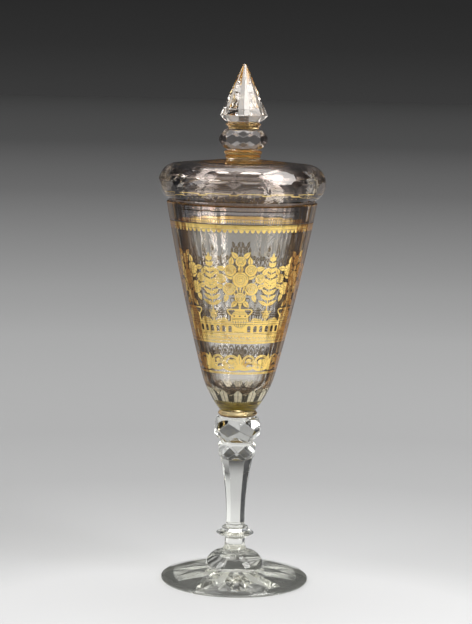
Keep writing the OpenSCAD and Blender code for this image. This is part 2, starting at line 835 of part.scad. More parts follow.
module finial_spire() {
    stub_z = spire_z + stub_h;
    bevel_r = finial_joint_d / 2 + 2 * collar_edge;
    color(bowl_glass)
        union() {
            translate([0, 0, spire_z]) cylinder(d = finial_joint_d, h = stub_h + bevel_h / 2);
            rotate([0, 0, -90])
                rotate_extrude($fn = spire_sides)
                    polygon([[0, stub_z], [bevel_r, stub_z], [spire_d / 2, spire_z + bevel_h],
                        [tip_flat, spire_z + spire_h], [0, spire_z + spire_h]]);
        }
}

foot();
foot_dome();
lower_merese();
stem();
stem_knop();
bowl_collar();
outer_bowl();
inner_bowl();
seam_cement();
rim_gold_band();
frieze_gold();
scroll_gold();
scroll_gold_line();
base_glaze();
base_rosette();
cover_shell();
cover_liner();
cover_cement();
cover_gold_border();
cover_gold_field();
finial_base_collar();
finial_knop();
finial_collar();
finial_spire();
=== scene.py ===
"""Add-on that dresses a covered glass goblet: cut glass, gold leaf between the layers, and a stage."""
from math import atan2, cos, hypot, pi, radians, sin, tau

import bmesh
import bpy
import numpy
from bpy.props import FloatProperty, FloatVectorProperty, IntProperty, PointerProperty
from bpy.types import Operator, Panel, PropertyGroup
from mathutils import Matrix, Vector
from mathutils.bvhtree import BVHTree
from mathutils.geometry import delaunay_2d_cdt


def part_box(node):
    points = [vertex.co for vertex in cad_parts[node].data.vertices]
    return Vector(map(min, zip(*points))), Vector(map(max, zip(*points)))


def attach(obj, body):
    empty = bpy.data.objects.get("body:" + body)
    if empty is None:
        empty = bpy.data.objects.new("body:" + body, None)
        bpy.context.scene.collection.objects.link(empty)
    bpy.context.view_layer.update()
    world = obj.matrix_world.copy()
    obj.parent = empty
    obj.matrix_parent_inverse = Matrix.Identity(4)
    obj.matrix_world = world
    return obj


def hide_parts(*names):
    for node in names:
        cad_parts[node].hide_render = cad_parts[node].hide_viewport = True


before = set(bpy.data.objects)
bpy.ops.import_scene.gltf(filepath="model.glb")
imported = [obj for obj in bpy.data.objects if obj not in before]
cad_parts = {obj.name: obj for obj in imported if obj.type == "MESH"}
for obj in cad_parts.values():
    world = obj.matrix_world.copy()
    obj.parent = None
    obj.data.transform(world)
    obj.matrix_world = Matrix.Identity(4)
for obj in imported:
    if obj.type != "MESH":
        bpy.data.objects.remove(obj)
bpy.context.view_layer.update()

bl_info = {
    "name": "Covered Goblet",
    "version": (1, 0, 0),
    "blender": (4, 5, 0),
    "location": "3D View > Sidebar > Goblet",
    "description": "Dresses a covered glass goblet with cut glass and gold leaf between its layers",
    "category": "Object",
}

# Drawings are in millimetres, Blender is in metres
MM = 0.001

# Glass nodes of the foot and stem, of the bowl and of the cover, with the finish of each
STEM_GLASS = {
    "foot": "clear",
    "foot_dome": "clear",
    "lower_merese": "clear",
    "stem": "clear",
    "stem_knop": "clear",
    "bowl_collar": "amber",
}
BOWL_GLASS = {
    "outer_bowl": "bowl",
    "inner_bowl": "lip",
}
COVER_GLASS = {
    "cover_shell": "cover",
    "cover_liner": "cover",
    "finial_base_collar": "amber",
    "finial_knop": "cover",
    "finial_collar": "amber",
    "finial_spire": "spire",
}
# Glass faces nearer than this to the next piece of the same body are cemented or fused to it
BOND_REACH = 0.5 * MM
# How far glass turns away from the eye where its edge tint starts and where it is full; on the foot, stem
# and cover that tint is painted shade, on the bowl it is amber darkened by painted shade
CUT_EDGE = (0.30, 0.62)
BOWL_EDGE = (0.22, 0.50)
# Share of a lamp's light that each face of the glass lets through to the floor
SHADOW_SHARE = 0.82
# Stretch that draws noise out into upright streaks
UPRIGHT = (1.0, 1.0, 0.02)
# Rays cut into the amber leaf, and the spacing of its rings in millimetres
AMBER_RAYS = 32
AMBER_RING_PITCH = 4.5
# Number of leaves in the silver rosette
ROSETTE_LEAVES = 12


def level(name, top=False):
    """Lowest or highest level of a node, in millimetres."""
    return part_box(name)[1 if top else 0][2] / MM


class BowlSizes(PropertyGroup):
    """Sizes of the bowl's wall and of the leaf held in it."""

    rim_d: FloatProperty(
        name="Rim diameter", description="Outer diameter of the rim",
        default=0.090, unit="LENGTH",
    )
    wall_low_d: FloatProperty(
        name="Low diameter", description="Diameter where the bowl's straight wall starts",
        default=0.0438, unit="LENGTH",
    )
    wall_low_z: FloatProperty(
        name="Low level", description="Level where the bowl's straight wall starts",
        default=0.126, unit="LENGTH",
    )
    rim_z: FloatProperty(
        name="Rim level", description="Level of the rim",
        default=level("inner_bowl", top=True) * MM, unit="LENGTH",
    )
    wall_bulge: FloatProperty(
        name="Bulge", description="How far the wall bulges from a straight cone",
        default=0.0011, unit="LENGTH",
    )
    leaf_depth: FloatProperty(
        name="Leaf depth", description="Depth of the leaf's inner side under the outer wall",
        default=0.00218, unit="LENGTH",
    )
    leaf_t: FloatProperty(
        name="Leaf thickness", description="Thickness of the gold leaf with its varnish",
        default=0.00016, unit="LENGTH",
    )


class GoldSettings(PropertyGroup):
    """Counts, line width and colours of the gold leaf."""

    line_w: FloatProperty(
        name="Line width", description="Width of the engraved lines",
        default=0.00028, unit="LENGTH",
    )
    scallops: IntProperty(
        name="Scallops", description="Number of scallops under the rim band", default=78, min=12,
    )
    scrolls: IntProperty(
        name="Scrolls", description="Number of scrolls in the lower border", default=8, min=4,
    )
    bright: FloatVectorProperty(
        name="Gold", description="Colour of the gold leaf", default=(1.0, 0.77, 0.235),
        subtype="COLOR", size=3, min=0.0, max=1.0,
    )
    shade: FloatVectorProperty(
        name="Worn gold", description="Colour of thin or worn leaf", default=(0.62, 0.36, 0.05),
        subtype="COLOR", size=3, min=0.0, max=1.0,
    )
    # Painted shade: dark olive-brown on the back of the leaf, where it faces away from the lamps
    back_shade: FloatVectorProperty(
        name="Backing", description="Colour of the lacquer behind the leaf", default=(0.085, 0.055, 0.012),
        subtype="COLOR", size=3, min=0.0, max=1.0,
    )


class GlassSettings(PropertyGroup):
    """Tints and polish of the glass."""

    clear_tint: FloatVectorProperty(
        name="Stem glass", description="Tint of the foot and stem", default=(0.905, 0.910, 0.880),
        subtype="COLOR", size=3, min=0.0, max=1.0,
    )
    bowl_tint: FloatVectorProperty(
        name="Bowl glass", description="Tint of the bowl", default=(0.972, 0.955, 0.940),
        subtype="COLOR", size=3, min=0.0, max=1.0,
    )
    cover_tint: FloatVectorProperty(
        name="Cover glass", description="Tint of the cover", default=(0.940, 0.890, 0.865),
        subtype="COLOR", size=3, min=0.0, max=1.0,
    )
    # Painted shade, nearly black, along the edges of the cover and its knop
    cover_edge_shade: FloatVectorProperty(
        name="Cover edges", description="Tint along the edges of the cover and its knop",
        default=(0.08, 0.06, 0.055), subtype="COLOR", size=3, min=0.0, max=1.0,
    )
    # Painted shade that darkens the foot and stem towards their edges
    foot_edge_shade: FloatVectorProperty(
        name="Stem edges", description="Tint along the edges of the foot and stem",
        default=(0.74, 0.75, 0.70), subtype="COLOR", size=3, min=0.0, max=1.0,
    )
    base_tint: FloatVectorProperty(
        name="Bowl base", description="Amber that runs down to the lowest part of the bowl",
        default=(0.40, 0.32, 0.11), subtype="COLOR", size=3, min=0.0, max=1.0,
    )
    lip_tint: FloatVectorProperty(
        name="Lip", description="Tint of the gilding worn to brown along the lip and collars",
        default=(0.30, 0.14, 0.04), subtype="COLOR", size=3, min=0.0, max=1.0,
    )
    # Along the bowl's edges this colour is amber seen along a longer path, darkened by painted shade; under
    # the lip it makes a dark line
    amber_and_edge_shade: FloatVectorProperty(
        name="Amber edges", description="Tint along the edges of the bowl and under its lip",
        default=(0.09, 0.035, 0.008), subtype="COLOR", size=3, min=0.0, max=1.0,
    )
    collar_tint: FloatVectorProperty(
        name="Collars", description="Tint of the collars under the bowl and on the cover",
        default=(0.48, 0.31, 0.10), subtype="COLOR", size=3, min=0.0, max=1.0,
    )
    spire_tint: FloatVectorProperty(
        name="Spire glass", description="Tint of the spire", default=(0.985, 0.930, 0.870),
        subtype="COLOR", size=3, min=0.0, max=1.0,
    )
    ior: FloatProperty(
        name="Refraction", description="Refractive index of the glass", default=1.51, min=1.3, max=1.8,
    )
    crisp_angle: FloatProperty(
        name="Crisp angle", description="Edges of turned surfaces sharper than this stay crisp",
        default=radians(28.0), subtype="ANGLE",
    )
    facet_angle: FloatProperty(
        name="Facet angle", description="Edges of flat facets sharper than this stay crisp",
        default=radians(5.0), subtype="ANGLE",
    )
    facet_area: FloatProperty(
        name="Facet area", description="Faces larger than this are flat facets",
        default=0.000012, unit="AREA", precision=6,
    )
    edge_round: FloatProperty(
        name="Edge round", description="Radius of the polished edges", default=0.0005, unit="LENGTH",
        precision=5,
    )


class StageSettings(PropertyGroup):
    """Camera, lamps and floor."""

    distance: FloatProperty(
        name="Distance", description="Level distance from the camera to the axis",
        default=1.123, unit="LENGTH",
    )
    height: FloatProperty(
        name="Height", description="Height of the camera over the floor", default=0.2988, unit="LENGTH",
    )
    aside: FloatProperty(
        name="Aside", description="How far the camera stands left of the axis",
        default=0.0022, unit="LENGTH",
    )
    pitch: FloatProperty(
        name="Pitch", description="How far the camera looks down", default=radians(6.85), subtype="ANGLE",
    )
    roll: FloatProperty(
        name="Roll", description="How far the camera leans", default=radians(1.2), subtype="ANGLE",
    )
    lens: FloatProperty(
        name="Lens", description="Focal length on a 36 mm sensor, in millimetres", default=108.7,
    )
    ambient: FloatProperty(
        name="Ambient", description="Even light of the room", default=0.80, min=0.0,
    )
    key_power: FloatProperty(
        name="Key lamp", description="Power of the softbox on the right", default=16.5, unit="POWER",
    )
    fill_power: FloatProperty(
        name="Fill lamp", description="Power of the softbox on the left", default=6.8, unit="POWER",
    )
    top_power: FloatProperty(
        name="Top lamp", description="Power of the softbox overhead", default=6.0, unit="POWER",
    )


def bowl_sizes():
    """Sizes of the bowl, as set in the scene."""
    return bpy.context.scene.goblet_bowl


def gold_settings():
    """Counts and colours of the gold, as set in the scene."""
    return bpy.context.scene.goblet_gold


def glass_settings():
    """Tints and polish of the glass, as set in the scene."""
    return bpy.context.scene.goblet_glass


def stage_settings():
    """Camera and lamps, as set in the scene."""
    return bpy.context.scene.goblet_stage


# Node helpers


def feed(tree, node, entries):
    """Links a node's entries to sockets, or gives them plain values."""
    for entry, value in entries.items():
        if isinstance(value, bpy.types.NodeSocket):
            tree.links.new(value, node.inputs[entry])
        else:
            node.inputs[entry].default_value = value


def add_node(tree, kind, entries=None, **settings):
    """New node of a tree with its settings made and its entries fed."""
    node = tree.nodes.new(kind)
    for setting, value in settings.items():
        setattr(node, setting, value)
    feed(tree, node, entries or {})
    return node


def new_material(name, kind="ShaderNodeBsdfPrincipled"):
    """Empty node material: the material, its tree and a shader that is linked to the output."""
    material = bpy.data.materials.new(name)
    material.use_nodes = True
    tree = material.node_tree
    tree.nodes.clear()
    shader = tree.nodes.new(kind)
    add_node(tree, "ShaderNodeOutputMaterial", {"Surface": shader.outputs["BSDF"]})
    return material, tree, shader


def place(tree, scale=(1.0, 1.0, 1.0)):
    """The piece's own coordinates, stretched by a scale."""
    coordinates = tree.nodes.new("ShaderNodeTexCoord")
    entries = {"Vector": coordinates.outputs["Object"], "Scale": scale}
    return add_node(tree, "ShaderNodeMapping", entries).outputs["Vector"]


def noise(tree, where, scale, detail=3.0, roughness=0.5):
    """Cloudy spots, from 0 to 1."""
    entries = {"Vector": where, "Scale": scale, "Detail": detail, "Roughness": roughness}
    return add_node(tree, "ShaderNodeTexNoise", entries).outputs["Fac"]


def ramp(tree, factor, stops):
    """Colour by factor: stops are (place, colour) pairs."""
    node = add_node(tree, "ShaderNodeValToRGB", {"Fac": factor})
    elements = node.color_ramp.elements
    while len(elements) < len(stops):
        elements.new(0.5)
    for element, (position, colour) in zip(elements, stops):
        element.position = position
        element.color = (*colour, 1.0)
    return node.outputs["Color"]


def spread(tree, factor, low, high, start=0.3, end=0.7):
    """A number between low and high by factor."""
    entries = {"Value": factor, "From Min": start, "From Max": end, "To Min": low, "To Max": high}
    return add_node(tree, "ShaderNodeMapRange", entries).outputs["Result"]


def bump(tree, height, strength, distance, normal=None):
    """Fine relief by height, on top of a normal where one is given."""
    entries = {"Strength": strength, "Distance": distance, "Height": height}
    if normal is not None:
        entries["Normal"] = normal
    return add_node(tree, "ShaderNodeBump", entries).outputs["Normal"]


def blend(tree, factor, first, second):
    """Mix of two colours by a factor."""
    return add_node(tree, "ShaderNodeMix", {0: factor, 6: first, 7: second}, data_type="RGBA").outputs[2]


def math(tree, operation, first, second=None):
    """Math node on sockets or plain numbers."""
    entries = {0: first} if second is None else {0: first, 1: second}
    return add_node(tree, "ShaderNodeMath", entries, operation=operation).outputs["Value"]


def vector_math(tree, operation, entries):
    """Outputs of a vector math node."""
    return add_node(tree, "ShaderNodeVectorMath", entries, operation=operation).outputs


def split_xyz(tree, vector):
    """The X, Y and Z of a vector."""
    return add_node(tree, "ShaderNodeSeparateXYZ", {"Vector": vector}).outputs


# Materials


def glass_material(name, tint, edge_tint, streaks=0.0, stains=(), reach=CUT_EDGE):
    """Polished glass that lamps shine through: a tint face on, another at its edges, and faint waves.

    Streaks break the edge tint into upright lines. Stains are bands of another tint: lowest level,
    highest level and colour. Reach is how far the glass turns away where the edge tint starts and is full.
    """
    material, tree, shader = new_material(name)
    where = place(tree)
    facing = tree.nodes.new("ShaderNodeLayerWeight")
    upright = noise(tree, place(tree, UPRIGHT), 420.0, 2.0)
    tone = math(tree, "ADD", facing.outputs["Facing"], spread(tree, upright, -streaks, streaks))
    # Where the edge tint is dark it is painted shade along the glass's edges
    colour = ramp(tree, tone, [(reach[0], tint), (reach[1], edge_tint)])
    height = split_xyz(tree, where)["Z"]
    for low, high, stain in stains:
        above = math(tree, "GREATER_THAN", height, low)
        band = math(tree, "MULTIPLY", above, math(tree, "LESS_THAN", height, high))
        colour = blend(tree, band, colour, (*stain, 1.0))
    smudges = noise(tree, where, 45.0, 4.0, 0.6)
    waves = noise(tree, where, 140.0, 1.0)
    rounded = add_node(tree, "ShaderNodeBevel", {"Radius": glass_settings().edge_round}, samples=6)
    feed(tree, shader, {
        "Base Color": colour,
        "Specular Tint": colour,
        "Transmission Weight": 1.0,
        "IOR": glass_settings().ior,
        "Roughness": spread(tree, smudges, 0.0, 0.035, 0.5, 0.8),
        "Normal": bump(tree, waves, 0.04, 0.4 * MM, rounded.outputs["Normal"]),
    })
    shade = (*[SHADOW_SHARE * part for part in tint], 1.0)
    shadow = add_node(tree, "ShaderNodeBsdfTransparent", {"Color": shade})
    path = tree.nodes.new("ShaderNodeLightPath")
    shaders = {1: shader.outputs["BSDF"], 2: shadow.outputs["BSDF"]}
    mix = add_node(tree, "ShaderNodeMixShader", {"Fac": path.outputs["Is Shadow Ray"], **shaders})
    feed(tree, tree.nodes["Material Output"], {"Surface": mix.outputs["Shader"]})
    return material


def bond_material():
    """Clear cement where two glass pieces meet: light passes straight on, a little warmed."""
    material, tree, clear = new_material("clear_cement", "ShaderNodeBsdfTransparent")
    aged = noise(tree, place(tree), 90.0, 4.0)
    warmed = ramp(tree, aged, [(0.35, (1.0, 1.0, 0.995)), (0.75, (0.975, 0.965, 0.93))])
    feed(tree, clear, {"Color": warmed})
    return material


def gold_material():
    """Burnished leaf: bright, worn in patches, finely crinkled."""
    gold = gold_settings()
    material, tree, shader = new_material("burnished_gold")
    where = place(tree)
    worn = noise(tree, where, 160.0, 6.0, 0.62)
    fine = noise(tree, where, 2400.0, 2.0)
    even = ramp(tree, worn, [(0.32, gold.shade), (0.46, gold.bright)])
    speck = ramp(tree, fine, [(0.3, gold.shade), (0.5, gold.bright)])
    feed(tree, shader, {
        "Base Color": blend(tree, spread(tree, worn, 0.15, 0.5), even, speck),
        "Metallic": 0.3,
        "Roughness": spread(tree, fine, 0.30, 0.45),
        "Normal": bump(tree, fine, 0.25, 0.05 * MM),
    })
    return material


def back_shade_material():
    """Painted shade over the back of the leaf: dark olive-brown, in brushed streaks."""
    dark = gold_settings().back_shade
    warm = [part * 2.2 for part in dark]
    material, tree, shader = new_material("leaf_backing")
    brushed = noise(tree, place(tree, (1.0, 1.0, 0.25)), 260.0, 5.0, 0.6)
    feed(tree, shader, {
        "Base Color": ramp(tree, brushed, [(0.35, dark), (0.7, warm)]),
        "Roughness": spread(tree, brushed, 0.35, 0.6),
        "Normal": bump(tree, brushed, 0.2, 0.08 * MM),
    })
    return material


def ring_angle(tree, where):
    """Angle about the axis as a share of a turn."""
    gradient = add_node(tree, "ShaderNodeTexGradient", {"Vector": where}, gradient_type="RADIAL")
    return gradient.outputs["Fac"]


def amber_material():
    """Amber-stained leaf under the finial, engraved with rays and rings."""
    material, tree, shader = new_material("rayed_amber")
    where = place(tree)
    spot = split_xyz(tree, where)
    squares = [math(tree, "POWER", spot[axis], 2.0) for axis in ("X", "Y")]
    distance = math(tree, "SQRT", math(tree, "ADD", *squares))
    rays = math(tree, "SINE", math(tree, "MULTIPLY", ring_angle(tree, where), AMBER_RAYS * tau))
    rings = math(tree, "SINE", math(tree, "MULTIPLY", distance, tau / (AMBER_RING_PITCH * MM)))
    worn = noise(tree, where, 220.0, 5.0, 0.6)
    field = ramp(tree, worn, [(0.40, (0.36, 0.19, 0.02)), (0.58, (0.80, 0.50, 0.09))])
    cut = ramp(tree, worn, [(0.3, (0.12, 0.06, 0.01)), (0.7, (0.24, 0.13, 0.02))])
    ray_lines = spread(tree, rays, 0.0, 1.0, 0.86, 0.98)
    ring_lines = spread(tree, rings, 0.0, 1.0, 0.9, 1.0)
    feed(tree, shader, {
        "Base Color": blend(tree, math(tree, "MAXIMUM", ray_lines, ring_lines), field, cut),
        "Metallic": 0.7,
        "Roughness": spread(tree, worn, 0.3, 0.5),
        "Normal": bump(tree, worn, 0.2, 0.06 * MM),
    })
    return material


def cement_material(name, dark, pale, scale):
    """Plain cement, mottled by noise."""
    material, tree, shader = new_material(name)
    spots = noise(tree, place(tree), scale, 5.0, 0.6)
    feed(tree, shader, {
        "Base Color": ramp(tree, spots, [(0.36, dark), (0.66, pale)]),
        "Roughness": spread(tree, spots, 0.3, 0.5),
        "Normal": bump(tree, spots, 0.2, 0.08 * MM),
    })
    return material


def lacquer_material():
    """Lacquer disc: black on top, yellow-green underneath."""
    material, tree, shader = new_material("base_lacquer")
    spots = noise(tree, place(tree), 240.0, 5.0, 0.6)
    top = ramp(tree, spots, [(0.36, (0.012, 0.010, 0.006)), (0.66, (0.045, 0.038, 0.018))])
    under = ramp(tree, spots, [(0.40, (0.16, 0.12, 0.005)), (0.60, (0.78, 0.60, 0.03))])
    facing = tree.nodes.new("ShaderNodeNewGeometry")
    upward = spread(tree, split_xyz(tree, facing.outputs["True Normal"])["Z"], 0.0, 1.0)
    feed(tree, shader, {
        "Base Color": blend(tree, upward, under, top),
        "Roughness": spread(tree, spots, 0.25, 0.45),
    })
    return material


def silver_material():
    """Silver leaf rosette, with painted shade, black, between its leaves."""
    material, tree, shader = new_material("tarnished_silver")
    where = place(tree)
    leaves = math(tree, "COSINE", math(tree, "MULTIPLY", ring_angle(tree, where), ROSETTE_LEAVES * tau))
    worn = noise(tree, where, 500.0, 4.0)
    bright = ramp(tree, worn, [(0.3, (0.62, 0.60, 0.50)), (0.7, (0.92, 0.90, 0.82))])
    black = ramp(tree, worn, [(0.3, (0.012, 0.011, 0.009)), (0.7, (0.05, 0.045, 0.03))])
    # Painted shade: black between the leaves
    shaded_gaps = spread(tree, leaves, 1.0, 0.0, -0.35, 0.05)
    ribs = spread(tree, leaves, 0.0, 1.0, 0.985, 0.998)
    feed(tree, shader, {
        "Base Color": blend(tree, math(tree, "MAXIMUM", shaded_gaps, ribs), bright, black),
        "Metallic": 0.2,
        "Roughness": spread(tree, worn, 0.25, 0.45),
    })
    return material


# Glass pieces

# Points nearer than this are merged, and a face is tested for cement from this far inside it
MERGE_REACH = 0.001 * MM
TEST_INSET = 0.02 * MM
# How squarely, as a cosine, a neighbour's face has to look at a cemented one
BOND_FACING = -0.7
# Triangles that meet flatter than this are one facet
FLAT_ANGLE = radians(0.4)


def node_tree_of(names):
    """Search tree over the faces of several nodes, at rest."""
    points = []
    faces = []
    for name in names:
        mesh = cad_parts[name].data
        first = len(points)
        points.extend(vertex.co.copy() for vertex in mesh.vertices)
        faces.extend([first + index for index in face.vertices] for face in mesh.polygons)
    return BVHTree.FromPolygons(points, faces)


def cut_glass(node, finish, body, neighbours):
    """Copies a glass node with clean facets, and marks the faces that are cemented to its neighbours."""
    materials = glass_materials()
    glass = glass_settings()
    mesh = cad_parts[node].data.copy()
    mesh.name = f"{node}_cut"
    mesh.attributes.remove(mesh.attributes["custom_normal"])
    piece = bpy.data.objects.new(f"{node}_cut", mesh)
    bpy.context.scene.collection.objects.link(piece)
    mesh.materials.clear()
    mesh.materials.append(materials[finish])
    mesh.materials.append(materials["bond"])
    shape = bmesh.new()
    shape.from_mesh(mesh)
    bmesh.ops.remove_doubles(shape, verts=shape.verts, dist=MERGE_REACH)
    others = node_tree_of([name for name in neighbours if name != node])
    for face in shape.faces:
        start = face.calc_center_median() - face.normal * TEST_INSET
        hit = others.ray_cast(start, face.normal, BOND_REACH + TEST_INSET)
        bonded = hit[0] is not None and hit[1].dot(face.normal) < BOND_FACING
        face.material_index = 1 if bonded else 0
        face.smooth = True
    bmesh.ops.dissolve_limit(
        shape, angle_limit=FLAT_ANGLE, verts=shape.verts, edges=shape.edges, delimit={"MATERIAL"},
    )
    for edge in shape.edges:
        flat = any(face.calc_area() > glass.facet_area for face in edge.link_faces)
        edge.smooth = edge.calc_face_angle(0.0) < (glass.facet_angle if flat else glass.crisp_angle)
    shape.to_mesh(mesh)
    shape.free()
    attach(piece, body)
    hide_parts(node)
    return piece


GLASS_FINISHES = ("clear", "bowl", "lip", "cover", "amber", "spire")
# Height of the stained lip, and the upper and lower end of a stained line under it, in millimetres
LIP_BAND = 0.8
LIP_LINE = (3.4, 3.0)
# Heights of the deep and the pale amber at the lowest part of the bowl, in millimetres
BASE_BANDS = (7.0, 15.0)
# How far the streaks of amber and painted shade reach in from the edges of the bowl
EDGE_STREAKS = 0.14


def glass_materials():
    """Finishes of the glass and the clear cement, made once."""
    made = bpy.data.materials
    if "clear_cement" not in made:
        glass = glass_settings()
        pale_amber = [(a + 2 * b) / 3 for a, b in zip(glass.collar_tint, glass.bowl_tint)]
        rim = bowl_sizes().rim_z
        stains = [(rim - LIP_BAND * MM, rim + MM, glass.lip_tint)]
        stains.append((rim - LIP_LINE[0] * MM, rim - LIP_LINE[1] * MM, glass.amber_and_edge_shade))
        low = level("outer_bowl") * MM
        pale_base = [(a + b) / 2 for a, b in zip(glass.base_tint, glass.bowl_tint)]
        base_stains = [(low - MM, low + BASE_BANDS[1] * MM, pale_base)]
        base_stains.append((low - MM, low + BASE_BANDS[0] * MM, glass.base_tint))
        # Foot and stem glass, with painted shade towards its edges
        glass_material("clear_glass_cut", glass.clear_tint, glass.foot_edge_shade)
        # Bowl edges: amber with painted shade
        amber_edge_shade = (glass.bowl_tint, glass.amber_and_edge_shade, EDGE_STREAKS)
        glass_material("bowl_glass_cut", *amber_edge_shade, base_stains, BOWL_EDGE)
        glass_material("lip_glass_cut", *amber_edge_shade, stains, BOWL_EDGE)
        # Cover glass, with painted shade along its edges
        glass_material("cover_glass_cut", glass.cover_tint, glass.cover_edge_shade)
        glass_material("amber_glass_cut", glass.collar_tint, glass.lip_tint)
        glass_material("spire_glass_cut", glass.spire_tint, pale_amber)
        bond_material()
    finishes = {finish: made[f"{finish}_glass_cut"] for finish in GLASS_FINISHES}
    finishes["bond"] = made["clear_cement"]
    return finishes


def finish_node(name, material):
    """Gives a node that stays as it is its material."""
    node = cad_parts[name]
    node.data.materials.clear()
    node.data.materials.append(material)


class GOBLET_OT_stem_glass(Operator):
    """Foot, dome, merese, stem, knop and collar of cut glass"""

    bl_idname = "goblet.stem_glass"
    bl_label = "Foot and Stem"

    def execute(self, context):
        for node, finish in STEM_GLASS.items():
            cut_glass(node, finish, "goblet", (*STEM_GLASS, *BOWL_GLASS))
        return {"FINISHED"}


class GOBLET_OT_bowl_glass(Operator):
    """Both layers of the panelled bowl and the cement in their seam"""

    bl_idname = "goblet.bowl_glass"
    bl_label = "Bowl"

    def execute(self, context):
        for node, finish in BOWL_GLASS.items():
            cut_glass(node, finish, "goblet", (*STEM_GLASS, *BOWL_GLASS))
        brown = cement_material("brown_cement", (0.012, 0.006, 0.003), (0.045, 0.022, 0.008), 700.0)
        finish_node("seam_cement", brown)
        return {"FINISHED"}


class GOBLET_OT_cover_glass(Operator):
    """Shell and liner of the cover, and the finial"""

    bl_idname = "goblet.cover_glass"
    bl_label = "Cover and Finial"

    def execute(self, context):
        for node, finish in COVER_GLASS.items():
            cut_glass(node, finish, "cover", COVER_GLASS)
        grey = cement_material("grey_cement", (0.045, 0.036, 0.030), (0.14, 0.11, 0.09), 500.0)
        finish_node("cover_cement", grey)
        return {"FINISHED"}


# Flat shapes for the gold leaf, in millimetres: x runs round to the right, y runs up


def arc_points(radius, start=0.0, end=tau, steps=24):
    """Points of an arc about the origin."""
    angles = [start + (end - start) * i / steps for i in range(steps + 1)]
    return [(radius * cos(angle), radius * sin(angle)) for angle in angles]


def disc(radius, centre=(0.0, 0.0), steps=24):
    """Outline of a disc."""
    return [(x + centre[0], y + centre[1]) for x, y in arc_points(radius, steps=steps)[:-1]]


def spiral_points(outer, inner, turns, start=0.0, steps_a_turn=16):
    """Points of a spiral from its outer end to its inner one; negative turns run clockwise."""
    steps = max(2, round(abs(turns) * steps_a_turn))
    points = []
    for i in range(steps + 1):
        share = i / steps
        radius = outer + (inner - outer) * share
        angle = start + turns * tau * share
        points.append((radius * cos(angle), radius * sin(angle)))
    return points


def bent(start, middle, end, steps=8):
    """Points of a curve that leaves start towards middle and comes to end."""
    points = []
    for i in range(steps + 1):
        t = i / steps
        points.append(tuple(
            (1 - t) ** 2 * a + 2 * (1 - t) * t * b + t ** 2 * c for a, b, c in zip(start, middle, end)
        ))
    return points


def strip(points, width, end_width=None):
    """Quads of a line along points, tapering from width to end_width."""
    last = width if end_width is None else end_width
    sides = []
    for i, (x, y) in enumerate(points):
        before = points[max(i - 1, 0)]
        after = points[min(i + 1, len(points) - 1)]
        along = Vector((after[0] - before[0], after[1] - before[1])).normalized()
        half = (width + (last - width) * i / (len(points) - 1)) / 2
        sides.append(((x - along.y * half, y + along.x * half), (x + along.y * half, y - along.x * half)))
    return [[a[1], b[1], b[0], a[0]] for a, b in zip(sides, sides[1:])]


def moved(outlines, by=(0.0, 0.0), turn=0.0, size=1.0, mirror=False):
    """Outlines made larger, mirrored, turned about the origin and moved."""
    flip = -1.0 if mirror else 1.0
    result = []
    for outline in outlines:
        result.append([
            (
                size * (flip * x * cos(turn) - y * sin(turn)) + by[0],
                size * (flip * x * sin(turn) + y * cos(turn)) + by[1],
            )
            for x, y in outline
        ])
    return result


def leaf(length, width, steps=8):
    """Pointed leaf that grows along x from its stalk at the origin."""
    upper = [(length * i / steps, width / 2 * sin(pi * (i / steps) ** 0.8)) for i in range(steps + 1)]
    lower = [(x, -y) for x, y in reversed(upper[1:-1])]
    return (lower + upper)[::-1]


def midrib(length, width):
    """Line along the middle of a leaf."""
    return strip([(length * 0.22, 0.0), (length * 0.5, 0.0), (length * 0.84, 0.0)], width)


def inside(outline, spots):
    """Which of many spots lie inside an outline."""
    result = numpy.zeros(len(spots), dtype=bool)
    for (ax, ay), (bx, by) in zip(outline, outline[1:] + outline[:1]):
        if ay != by:
            between = (spots[:, 1] < ay) != (spots[:, 1] < by)
            result ^= between & (spots[:, 0] < ax + (spots[:, 1] - ay) * (bx - ax) / (by - ay))
    return result


def covered(outlines, spots):
    """Which of many spots lie inside any of several outlines."""
    result = numpy.zeros(len(spots), dtype=bool)
    for outline in outlines:
        corners = numpy.array(outline)
        within = ((spots > corners.min(axis=0)) & (spots < corners.max(axis=0))).all(axis=1)
        near = numpy.flatnonzero(within)
        result[near] |= inside(outline, spots[near])
    return result


# Finest step, in millimetres, that the joined outlines of the leaf keep apart
OUTLINE_STEP = 1e-5
# How far the lines that bend a sheet round the bowl run past it, in millimetres
FOLD_PAST = 1.0


